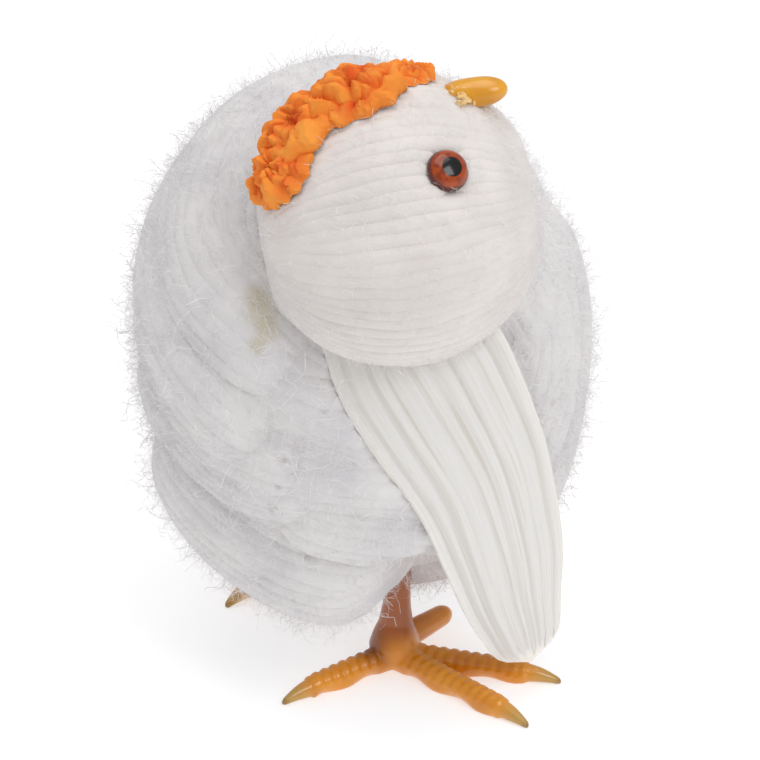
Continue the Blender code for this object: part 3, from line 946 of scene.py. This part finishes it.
# %% Paper finish and puffs
def paper_finish():
    finish = Finish("orange crepe paper", Roughness=0.75, Specular_IOR_Level=0.25,
                    Subsurface_Weight=0.15, Subsurface_Scale=0.0008,
                    Subsurface_Radius=(1.0, 0.35, 0.1))
    # painted shade: the paper turns deep red in its narrow creases, where shade falls
    crease_shade = finish.node("ShaderNodeAttribute", {"attribute_name": "depth"}, pick="Fac")
    colour = finish.blend(finish.noise(240.0).step(0.3, 0.7), tone(244, 152, 62), tone(238, 134, 48))
    colour = finish.blend(crease_shade, colour, tone(212, 62, 10))
    finish.set(Base_Color=colour)
    finish.bump(finish.noise(1800.0, 3.0), 0.06 * MM, 0.5)
    return finish.material


def zigzag(values):
    """A triangle wave between -1 and 1."""
    return 2 * np.abs(2 * (values - np.floor(values + 0.5))) - 1


def crumpled(points, seed, size):
    """Heights folded along random directions, in shares of one."""
    pick = np.random.default_rng(seed)
    total = np.zeros(len(points))
    for octave in range(4):
        way = pick.normal(size=3)
        way = way / np.linalg.norm(way)
        pitch = size * (1.0, 0.8, 0.6, 0.45)[octave]
        bent = points @ way / pitch + 0.25 * zigzag(points @ pick.normal(size=3) / size * 0.7)
        total += zigzag(bent + pick.uniform()) * pitch / size
    return total / 2.2


CREASES = 8
CREASE_SPREAD = 3.5
FACET_SIZE = 5.6 * MM
PAPER_WALL = 0.12 * MM


def creased(points, middle, seed):
    """Narrow folds into the paper along random planes near its middle, from 0 to 1."""
    pick = np.random.default_rng(seed + 50)
    deepest = np.zeros(len(points))
    for _ in range(CREASES):
        way = units(pick.normal(size=(1, 3)))[0]
        kink = zigzag(points @ pick.normal(size=3) / (6.0 * MM)) * 0.7 * MM
        across = (points - np.array(middle)) @ way
        across = across - pick.uniform(-CREASE_SPREAD, CREASE_SPREAD) * MM + kink
        fold = pick.uniform(0.5, 1.0) * np.clip(1 - np.abs(across) / (pick.uniform(0.7, 1.5) * MM), 0, 1)
        deepest = np.maximum(deepest, fold)
    return deepest


# name: pixel of the middle, reach in millimetres along and across the comb, height, pleats, seed
PUFFS = {
    "low": ((282, 172), 5.7, 5.3, 3.4, 7, 3),
    "second": ((302, 130), 7.0, 5.4, 4.0, 5, 5),
    "third": ((355, 98), 6.8, 5.6, 4.4, 5, 8),
    "front": ((406, 77), 3.9, 3.6, 2.4, 5, 13),
}
PUFF_COLUMNS = 72
PUFF_ROWS = 18
FOLD_RELIEF = 0.45 * MM
CREASE_RELIEF = 1.9 * MM
PLEAT_RELIEF = 0.25 * MM
COMB_SLANT = math.radians(38)


def on_head(px, py):
    """Where the ray through a pixel meets the head's ball."""
    start, ahead = photo_ray(px, py)
    to_middle = HEAD_MIDDLE - start
    near = to_middle.dot(ahead)
    inside = (HEAD_RADIUS + 0.4 * MM) ** 2 - (to_middle.length_squared - near ** 2)
    return start + ahead * (near - math.sqrt(max(inside, 0.0)))


def puff_sheet(middle, reach_along, reach_across, height, pleats, seed):
    """Points of one sheet of a puff, ring by ring round its middle, and how much painted crease shade each
    one gets.
    """
    out = (middle - HEAD_MIDDLE).normalized()
    along = PHOTO_RIGHT * math.cos(COMB_SLANT) + PHOTO_UP * math.sin(COMB_SLANT)
    along = (along - out * along.dot(out)).normalized()
    across = out.cross(along)
    pick = np.random.default_rng(seed)
    points, crease_shade = [np.array(middle + out * height * 0.7)], [0.5]
    for j in range(1, PUFF_ROWS + 1):
        t = j / PUFF_ROWS + (pick.uniform(-0.25, 0.25, PUFF_COLUMNS) / PUFF_ROWS if j < PUFF_ROWS else 0.0)
        a = 2 * math.pi * (np.arange(PUFF_COLUMNS) + pick.uniform(-0.35, 0.35, PUFF_COLUMNS)) / PUFF_COLUMNS
        pleat = zigzag(a / (2 * math.pi) * pleats + 0.35 * np.sin(a * 2 + seed) + 0.1 * seed)
        hem = 1 + 0.07 * zigzag(a / (2 * math.pi) * pleats * 2) + 0.08 * np.sin(2 * a + seed)
        reach = np.clip(t / 0.85, 0, 1) ** 0.8 * hem + np.zeros(PUFF_COLUMNS)
        lift = height * (0.7 + 0.3 * np.sin(math.pi * np.clip(t * 1.25, 0, 1))
                         - 0.7 * np.clip((t - 0.6) / 0.4, 0, 1) ** 2)
        flat = (np.array(middle) + np.outer(np.cos(a) * reach_along * reach, along)
                + np.outer(np.sin(a) * reach_across * reach, across))
        fold = crumpled(flat, seed, FACET_SIZE)
        crease = creased(flat, middle, seed) * np.clip(1.3 - 1.1 * t, 0, 1)
        rise = (lift * (0.9 + 0.1 * pleat) + FOLD_RELIEF * fold + PLEAT_RELIEF * pleat * t
                - CREASE_RELIEF * crease)
        rise = np.maximum(rise, 0.3 * MM)
        row = units(flat - HEAD_ROW)
        points.extend(HEAD_ROW + row * (HEAD_RADIUS + 0.3 * MM + rise)[:, None])
        # painted shade, deepest in the narrow creases and less on raised facets
        crease_shade.extend(np.clip(crease * 1.35 - fold * 0.25 - 0.27, 0, 1))
    return points, crease_shade


def sheet_faces(first):
    """Triangles over those points, with their diagonals turned by turns."""
    faces = [(first, first + 1 + k, first + 1 + (k + 1) % PUFF_COLUMNS) for k in range(PUFF_COLUMNS)]
    for j in range(PUFF_ROWS - 1):
        for k in range(PUFF_COLUMNS):
            a = first + 1 + j * PUFF_COLUMNS + k
            b = first + 1 + j * PUFF_COLUMNS + (k + 1) % PUFF_COLUMNS
            c, d = b + PUFF_COLUMNS, a + PUFF_COLUMNS
            faces.extend([(a, d, c), (a, c, b)] if (j + k) % 2 else [(a, d, b), (d, c, b)])
    return faces


def make_puff(name, spot, along_reach, across_reach, height, pleats, seed, material):
    """A skirt and a smaller crown of the same paper, with the paper's thickness."""
    middle = on_head(*spot)
    points, crease_shade, faces = [], [], []
    for size, rise, number in ((1.0, 0.95, seed), (0.6, 1.2, seed + 20)):
        some, depth = puff_sheet(middle, along_reach * size * MM, across_reach * size * MM,
                                 height * rise * MM, pleats, number)
        faces.extend(sheet_faces(len(points)))
        points.extend(some)
        crease_shade.extend(depth)
    piece = new_piece(name, points, faces, material)
    # the attribute named depth carries the painted crease shade to the paper's finish
    mark(piece, "depth", "FLOAT", crease_shade)
    piece.data.set_sharp_from_angle(angle=math.radians(16))
    wall = piece.modifiers.new("paper", "SOLIDIFY")
    wall.thickness = PAPER_WALL
    wall.offset = 0
    return piece


paper = paper_finish()
for number, (name, values) in enumerate(PUFFS.items()):
    puff = make_puff("comb_puff_" + name, *values, paper)
    hand_over(puff, "comb_paper", *(("paper_comb",) if number == 0 else ()))

# %% [markdown]
# ## The wings
#
# A wing is a stack of flat strips that leave the neck side by side and are glued into one rounded
# tip. The solid is a smooth tongue, so the strips are laid on it one by one, each a little over the
# next. A bump pattern would miss the edges that catch the light along the side.

# %% Wing shape
WING_THICKNESS = 1.6 * MM
WING_WIDTH = 24.2 * MM
WING_OUTLINE = (0.89, 1.0, 0.96, 0.88, 0.80, 0.74, 0.66, 0.52, 0.38)
WING_ANGLES = (280, 290, 300, 308, 317, 327)
WING_RADII = (0.90, 1.02, 1.045, 1.01, 0.935, 0.885)
WING_ROOT = 68.0 * MM
WING_TIP = 5.0 * MM
WING_FACING = (284, 298)
WING_SAG = (0.20, 0.04)
BREAST_ANGLE = math.radians(199)


def smooth_value(values, share):
    """Smooth value at a share along equally spaced values."""
    place = min(max(share, 0.0), 1.0) * (len(values) - 1)
    i = min(int(place), len(values) - 2)
    around = (values[max(i - 1, 0)], values[i], values[i + 1], values[min(i + 2, len(values) - 1)])
    return between(*around, place - i)


def wing_middle(share):
    """Middle line of the left wing, root to tip, about the body's axis."""
    a = math.radians(smooth_value(WING_ANGLES, share))
    girth = smooth_value(WING_RADII, share) * BODY_GIRTH
    girth -= 2.0 * MM * max(1 - share / 0.12, 0.0)
    return Vector((girth * math.cos(a), girth * math.sin(a), WING_ROOT + (WING_TIP - WING_ROOT) * share))


def wing_point(share, across, lift):
    """Point of the left wing: across from -1 to 1, lift over the middle of its thickness."""
    middle = wing_middle(share)
    along = (wing_middle(min(share + 0.02, 1.0)) - wing_middle(max(share - 0.02, 0.0))).normalized()
    facing = direction(WING_FACING[0] + (WING_FACING[1] - WING_FACING[0]) * share, 0)
    side = along.cross(facing).normalized()
    out = side.cross(along).normalized()
    half = WING_WIDTH / 2 * smooth_value(WING_OUTLINE, share)
    half *= math.sqrt(max(1 - max((share - 0.93) / 0.07, 0.0) ** 2, 0.01))
    sag = WING_SAG[0] + (WING_SAG[1] - WING_SAG[0]) * share
    return middle + side * across * half + out * (lift - sag * half * across * across)


print("wing length, mm:", round((wing_middle(0) - wing_middle(1)).length / MM, 1))

# %% Strips of a wing
WING_STRIPS = 9
STRIP_ROWS = 44
STRIP_COLUMNS = 6
STRIP_WALL = 0.07 * MM
SLAB_COLUMNS = 16
SLAB_TOP = 0.32
SLAB_UNDER = -0.5


def straw_finish():
    finish = Finish("ivory strips", Roughness=0.55, Specular_IOR_Level=0.35,
                    Subsurface_Weight=0.3, Subsurface_Scale=0.001,
                    Subsurface_Radius=(1.0, 0.9, 0.75))
    spread = finish.node("ShaderNodeAttribute", {"attribute_name": "lay"}, pick="Vector")
    grain = finish.node("ShaderNodeTexNoise", None, {"Vector": spread, "Scale": 1.0, "Detail": 4.0}, "Fac")
    colour = finish.blend(grain.step(0.35, 0.7), tone(248, 244, 238), tone(241, 236, 227))
    crease = finish.node("ShaderNodeTexNoise", None, {"Vector": spread, "Scale": 0.45, "Detail": 1.0}, "Fac")
    colour = finish.blend(crease.step(0.60, 0.68) * 0.30, colour, tone(206, 190, 158))
    finish.set(Base_Color=colour)
    finish.bump(grain, 0.03 * MM, 0.12)
    return finish.material


def slab_body():
    """Sections of the glued tongue under the strips, thinner towards its edges."""
    steps = [2 * i / SLAB_COLUMNS - 1 for i in range(SLAB_COLUMNS + 1)]
    ring = [(u, SLAB_TOP) for u in steps] + [(-u, SLAB_UNDER) for u in steps]
    section = [(u, side * WING_THICKNESS * (0.45 + 0.55 * math.sqrt(max(1 - u * u, 0)))) for u, side in ring]
    return [[(j / STRIP_ROWS, u, lift) for u, lift in section] for j in range(STRIP_ROWS + 1)]


def strip_bodies(pick):
    """Sections of every strip: its rows as closed loops of points, and the place of each point."""
    for k in range(WING_STRIPS):
        middle = -1 + 2 * (k + 0.5) / WING_STRIPS
        wide = 1.45 / WING_STRIPS
        end = 0.995 - 0.03 * pick.uniform()
        level = WING_THICKNESS * 0.34 + STRIP_WALL * (k % 2) * 0.3 + pick.uniform(0, 0.03) * MM
        lean = pick.uniform(-0.02, 0.03) * MM
        drift = pick.uniform(-0.6, 0.6) / WING_STRIPS
        rows = []
        for j in range(STRIP_ROWS + 1):
            t = end * j / STRIP_ROWS
            place = middle + drift * math.sin(2.2 * t + k)
            round_end = math.sqrt(max(1 - max((j / STRIP_ROWS - 0.93) / 0.07, 0) ** 2, 0.02))
            top, low = [], []
            for i in range(STRIP_COLUMNS + 1):
                u = 2 * i / STRIP_COLUMNS - 1
                across = max(min(place + wide * u * round_end, 0.99), -0.99)
                height = level + lean * u - 0.02 * MM * u * u + 0.18 * MM * max(1 - t / 0.15, 0)
                top.append((t, across, height + STRIP_WALL / 2))
                low.append((t, across, height - STRIP_WALL / 2))
            rows.append(top + low[::-1])
        yield rows


def mirror_wing(points):
    """The right wing's points from the left's, across the plane through the breast."""
    normal = Vector((-math.sin(BREAST_ANGLE), math.cos(BREAST_ANGLE), 0))
    return [p - normal * 2 * p.dot(normal) for p in points]


def make_wing(name, mirrored, seed, material):
    """A tongue of glued strips with loose strip edges over it."""
    points, lay, faces = [], [], []
    for rows in [slab_body(), *strip_bodies(np.random.default_rng(seed))]:
        first, count = len(points), len(rows[0])
        for row in rows:
            points.extend(wing_point(*spot) for spot in row)
            lay.extend((t * 4.0 + seed, u * 30.0 + first * 0.01, 0.0) for t, u, _ in row)
        faces.extend(tube_faces(len(rows), count, first))
    if mirrored:
        points = mirror_wing(points)
    axis = Vector((BODY_MIDDLE.x, BODY_MIDDLE.y, 0))
    piece = new_piece(name, [p + axis for p in points], faces, material)
    mark(piece, "lay", "FLOAT_VECTOR", lay)
    turn_out(piece.data)
    piece.data.set_sharp_from_angle(angle=math.radians(40))
    return piece


straw = straw_finish()
for name, mirrored, seed in (("wing_left", False, 4), ("wing_right", True, 6)):
    hand_over(make_wing(name + "_strips", mirrored, seed, straw), "straw", name)

# %% [markdown]
# ## The feet
#
# Each foot is one moulding: a boss, the leg in it, three toes with a row of scales on top and soft
# pads below, and a plain hind toe. Every limb is a skin swept along its line, and a voxel remesh
# melts them into one, as a mould would. The claws are plain and yellower.

# %% Limbs of a foot
# length, turn from the first toe in degrees, rows of scales
TOES = ((19.2 * MM, 0, 1), (25.8 * MM, 101, 2), (24.2 * MM, 131, 1))
TOE_RADIUS = 2.0 * MM
TOE_TAPER = 0.80
CLAW_LENGTH = 4.8 * MM
SCALE_PITCH = 1.55 * MM
SCALE_RELIEF = 0.42 * MM
PAD_PITCH = 8.5 * MM
PAD_RELIEF = 0.32 * MM
SOLE_CUT = 0.45 * MM
HALLUX_LENGTH = 11.8 * MM
HALLUX_RADIUS = 1.75 * MM
HALLUX_HEIGHT = 3.4 * MM
HALLUX_TURN = 192
LEG_BURIED = 11.0 * MM
# radius of the boss and the leg at heights over the floor, in millimetres
LEG_OUTLINE = ((0, 2.2), (1.5, 3.1), (3.4, 3.6), (5.2, 3.1), (7.0, 2.4), (9.5, 2.0), (13.0, 1.8),
               (40.0, 1.7))
FOOT_TURNS = {"foot_left": (216, 1), "foot_right": (230, -1)}
LIMB_SIDES = 36
LIMB_STEP = 0.25 * MM


def clamp(value):
    """A value held between nought and one."""
    return min(max(value, 0.0), 1.0)


def toe_radius(distance, length, angle, rows_of_scales):
    """Radius of a toe at a distance along it and an angle round it, nought at the side, 90 on top."""
    ringed = length - CLAW_LENGTH
    base = TOE_RADIUS * (1 + (TOE_TAPER - 1) * min(distance / ringed, 1.0))
    on_top = clamp(math.sin(angle) * 1.8 + 0.2)
    below = clamp(-math.sin(angle) * 1.5 + 0.3)
    fade = clamp((ringed - distance) / (1.5 * MM)) * clamp((distance - 3.0 * MM) / MM)
    wave = abs(math.sin(math.pi * (distance / SCALE_PITCH + 0.25 * math.cos(angle))))
    scale = SCALE_RELIEF * (wave ** 0.8 - 0.5) * on_top
    if rows_of_scales == 2:
        scale *= 0.55 + 0.45 * abs(math.cos(angle * 2))
    pad = PAD_RELIEF * math.sin(2 * math.pi * distance / PAD_PITCH + 1.0) * below
    radius = base + (scale + pad) * fade
    if distance > ringed:
        t = (distance - ringed) / CLAW_LENGTH
        radius = base * (0.80 - 0.55 * t ** 1.3 - max(t - 0.93, 0) * 2.5)
    return max(radius, 0.12 * MM)


def swept(middles, along, radius_at):
    """A closed skin round a straight line of middles."""
    side = along.cross(Vector((0, 0, 1))).normalized() if abs(along.z) < 0.9 else Vector((1, 0, 0))
    up = side.cross(along).normalized()
    points = []
    for j, middle in enumerate(middles):
        for k in range(LIMB_SIDES):
            angle = 2 * math.pi * k / LIMB_SIDES
            reach = radius_at(j, angle)
            points.append(middle + side * math.cos(angle) * reach + up * math.sin(angle) * reach)
    return points, tube_faces(len(middles), LIMB_SIDES)


def toe_skin(ankle, plan, length, rows_of_scales):
    along = direction(plan, 0)
    count = int(length / LIMB_STEP)
    distances = [length * j / count for j in range(count + 1)]
    ringed = length - CLAW_LENGTH
    middles = []
    for d in distances:
        base = TOE_RADIUS * (1 + (TOE_TAPER - 1) * min(d / ringed, 1.0))
        drop = 0.45 * TOE_RADIUS * max((d - ringed) / CLAW_LENGTH, 0) ** 2
        middles.append(ankle + along * d + Vector((0, 0, base - SOLE_CUT - drop)))
    return swept(middles, along,
                 lambda j, angle: toe_radius(distances[j], length, angle, rows_of_scales))


def hallux_skin(ankle, plan):
    along = direction(plan, 0)
    count = int(HALLUX_LENGTH / LIMB_STEP)
    low = ankle + Vector((0, 0, HALLUX_HEIGHT))
    middles = [low + along * HALLUX_LENGTH * j / count for j in range(count + 1)]

    def reach(j, angle):
        t = j / count
        tip = math.sqrt(max(1 - max((t - 0.82) / 0.185, 0) ** 2, 0.004))
        return HALLUX_RADIUS * tip * (0.95 + 0.08 * math.sin(t * 5))

    return swept(middles, along, reach)


def leg_skin(ankle):
    """The boss and the leg over it, which narrows up to the wool."""
    across = Vector((ankle.x - BODY_MIDDLE.x, ankle.y - BODY_MIDDLE.y))
    share = (across.x / BODY_HALF.x) ** 2 + (across.y / BODY_HALF.y) ** 2
    top = BODY_MIDDLE.z - BODY_HALF.z * math.sqrt(1 - share) + LEG_BURIED
    high = Vector((BODY_MIDDLE.x + across.x * 1.25, BODY_MIDDLE.y + across.y * 0.9, top))
    low = ankle + Vector((0, 0, 0.2 * MM))
    count = int((high - low).length / LIMB_STEP)
    middles = [low + (high - low) * j / count for j in range(count + 1)]
    heights, radii = (np.array(LEG_OUTLINE) * MM).T
    return swept(middles, (high - low).normalized(),
                 lambda j, angle: float(np.interp(middles[j].z, heights, radii)))


def make_foot(name, material, voxel):
    ankle = ANKLES[name]
    turn, hand = FOOT_TURNS[name]
    skins = [toe_skin(ankle, turn + hand * angle, length, rows) for length, angle, rows in TOES]
    skins += [hallux_skin(ankle, turn + hand * HALLUX_TURN), leg_skin(ankle)]
    points, faces = [], []
    for some_points, some_faces in skins:
        first = len(points)
        points.extend(some_points)
        faces.extend(tuple(first + i for i in face) for face in some_faces)
    rough = new_piece(name + "_rough", points, faces, material)
    turn_out(rough.data)
    melt = rough.modifiers.new("melt", "REMESH")
    melt.mode = "VOXEL"
    melt.voxel_size = voxel
    melt.use_smooth_shade = True
    ease = rough.modifiers.new("ease", "SMOOTH")
    ease.iterations = 2
    ease.factor = 0.4
    mesh = evaluated(rough)
    bpy.data.objects.remove(rough, do_unlink=True)
    for vertex in mesh.vertices:
        vertex.co.z = max(vertex.co.z, 0.0)
    mesh.name = name + "_moulding"
    mesh.materials.clear()
    mesh.materials.append(material)
    return placed(mesh.name, mesh)


# %% [markdown]
# The plastic is glossy and lets some light in. It is orange, browner from the top of the boss up the
# leg, and goes over to olive yellow in the claws. The left side of the boss carries painted shade, a
# dark red-brown patch. How far along its toe a point lies is its distance from the ankle, so the
# claws begin at fixed distances in each direction.


# %% Foot finish and feet
def foot_finish(name):
    finish = Finish(name + " plastic", Roughness=0.30, Specular_IOR_Level=0.5, Coat_Weight=0.4,
                    Coat_Roughness=0.1, Subsurface_Weight=0.25, Subsurface_Scale=0.0012,
                    Subsurface_Radius=(1.0, 0.45, 0.12))
    ankle = ANKLES[name]
    turn, hand = FOOT_TURNS[name]
    colour = finish.blend(finish.noise(160.0).step(0.3, 0.7), tone(232, 152, 24), tone(218, 136, 18))
    height = finish.node("ShaderNodeSeparateXYZ", None, {"Vector": finish.place()}, "Z")
    colour = finish.blend(height.step(3.6 * MM, 7.0 * MM), colour, tone(164, 84, 14))
    # painted shade: a dark red-brown patch on the left side of the boss, the side away from the light
    boss = finish.near(ankle + Vector((-3.0 * MM, -0.5 * MM, 3.4 * MM)), 5.0 * MM)
    colour = finish.blend(boss * 0.9, colour, tone(118, 44, 8))
    for length, angle, _ in TOES:
        tip = ankle + direction(turn + hand * angle, 0) * length
        colour = finish.blend(finish.near(tip, 6.4 * MM), colour, tone(190, 150, 74))
        colour = finish.blend(finish.near(tip, 1.6 * MM) * 0.6, colour, tone(120, 92, 56))
    finish.set(Base_Color=colour)
    finish.bump(finish.noise(700.0), 0.05 * MM, 0.35)
    return finish.material


for name, voxel in (("foot_left", 0.22 * MM), ("foot_right", 0.30 * MM)):
    hand_over(make_foot(name, foot_finish(name), voxel), "foot_plastic", name)

# %% [markdown]
# ## The eyes and the beak
#
# An eye is a domed button of amber plastic with a black pupil set in it, polished like glass. The
# beak is a smooth oval of yellow plastic. Both are turned shapes, so each is a profile spun round
# its own line.


# %% Turned shapes
def turned(name, base, along, profile, sides, material, flat=1.0):
    """A profile of (distance, radius) pairs spun round a line, closed at both ends."""
    side = along.cross(Vector((0, 0, 1))).normalized()
    top = side.cross(along).normalized()
    points = [base + along * d + (side * math.cos(a) + top * flat * math.sin(a)) * max(r, 1e-6)
              for d, r in profile for a in (2 * math.pi * k / sides for k in range(sides))]
    piece = new_piece(name, points, tube_faces(len(profile), sides), material)
    turn_out(piece.data)
    return piece


EYE_RADIUS = 3.0 * MM
EYE_DOME = 2.1 * MM


def eye_finish(name, seat):
    finish = Finish(name + " plastic", Roughness=0.20, Specular_IOR_Level=0.35,
                    Coat_Weight=0.35, Coat_Roughness=0.04)
    away = finish.away(seat)
    mottle = finish.noise(900.0, 3.0)
    amber = finish.blend(mottle.step(0.35, 0.65), tone(164, 66, 8), tone(126, 42, 5))
    amber = finish.blend(away.step(2.75 * MM, 3.05 * MM), amber, tone(84, 24, 8))
    finish.set(Base_Color=finish.blend(away.step(1.38 * MM, 1.52 * MM), tone(10, 8, 8), amber))
    return finish.material


def make_eye(name, spot):
    seat = HEAD_MIDDLE + spot * (HEAD_RADIUS - 0.4 * MM)
    centre = seat + spot * (EYE_DOME - 0.2 * MM)
    profile = [(-1.6 * MM, 1.2 * MM), (-0.7 * MM, 2.4 * MM), (-0.1 * MM, 2.92 * MM)]
    for k in range(25):
        a = math.pi / 2 * k / 24
        profile.append((EYE_DOME * math.sin(a), EYE_RADIUS * math.cos(a) ** 0.9))
    return turned(name + "_dome", seat, spot, profile, 64, eye_finish(name, centre))


for name, spot in EYE_SPOTS.items():
    hand_over(make_eye(name, spot), "eye_plastic", name)


def beak_finish():
    finish = Finish("beak plastic", Roughness=0.30, Coat_Weight=0.4, Coat_Roughness=0.12,
                    Subsurface_Weight=0.25, Subsurface_Scale=0.001,
                    Subsurface_Radius=(1.0, 0.6, 0.15))
    colour = finish.blend(finish.noise(300.0).step(0.35, 0.7), tone(224, 160, 28), tone(212, 144, 20))
    finish.set(Base_Color=colour)
    finish.bump(finish.noise(500.0), 0.05 * MM, 0.3)
    return finish.material


def make_beak(material):
    aim = direction(-6, 12)
    root, length, width, height = 0.9 * MM, 8.4 * MM, 4.6 * MM, 4.2 * MM
    start = HEAD_MIDDLE + direction(20, 65) * (HEAD_RADIUS - 0.4 * MM) - aim * root
    profile = []
    for k in range(41):
        t = k / 40
        profile.append((length * t, width / 2 * math.sqrt(max(1 - abs((t - 0.42) / 0.585) ** 2.6, 0))))
    return turned("beak_shell", start, aim, profile, 48, material, flat=height / width)


beak_plastic = beak_finish()
hand_over(make_beak(beak_plastic), "beak_plastic", "beak")

# %% [markdown]
# Glue has squeezed out where the beak meets the wool and dried in pale crumbs. Each crumb is a small
# uneven ball, and a loop with a fixed seed drops them on the wool round the photograph's place.


# %% Glue crumbs
CRUMB_SPOT = (459, 104)
CRUMBS = 26


def crumb_finish():
    finish = Finish("dried glue", Roughness=0.6)
    finish.set(Base_Color=finish.blend(finish.noise(1500.0), tone(236, 208, 150), tone(222, 176, 96)))
    return finish.material


def make_crumbs():
    pick = np.random.default_rng(31)
    edit = bmesh.new()
    middle = on_wool(*CRUMB_SPOT)
    for _ in range(CRUMBS):
        away = middle + Vector(pick.normal(0, 0.75, 3)) * MM
        seat = HEAD_MIDDLE + (away - HEAD_MIDDLE).normalized() * (HEAD_RADIUS + pick.uniform(0.5, 1.3) * MM)
        size = Matrix.Diagonal((*(pick.uniform(0.18, 0.50, 3) * MM), 1))
        bmesh.ops.create_icosphere(edit, subdivisions=1, radius=1.0, matrix=Matrix.Translation(seat) @ size)
    mesh = bpy.data.meshes.new("glue_crumbs")
    edit.to_mesh(mesh)
    edit.free()
    mesh.materials.append(crumb_finish())
    return placed("glue_crumbs", mesh)


hand_over(make_crumbs(), "beak_plastic")
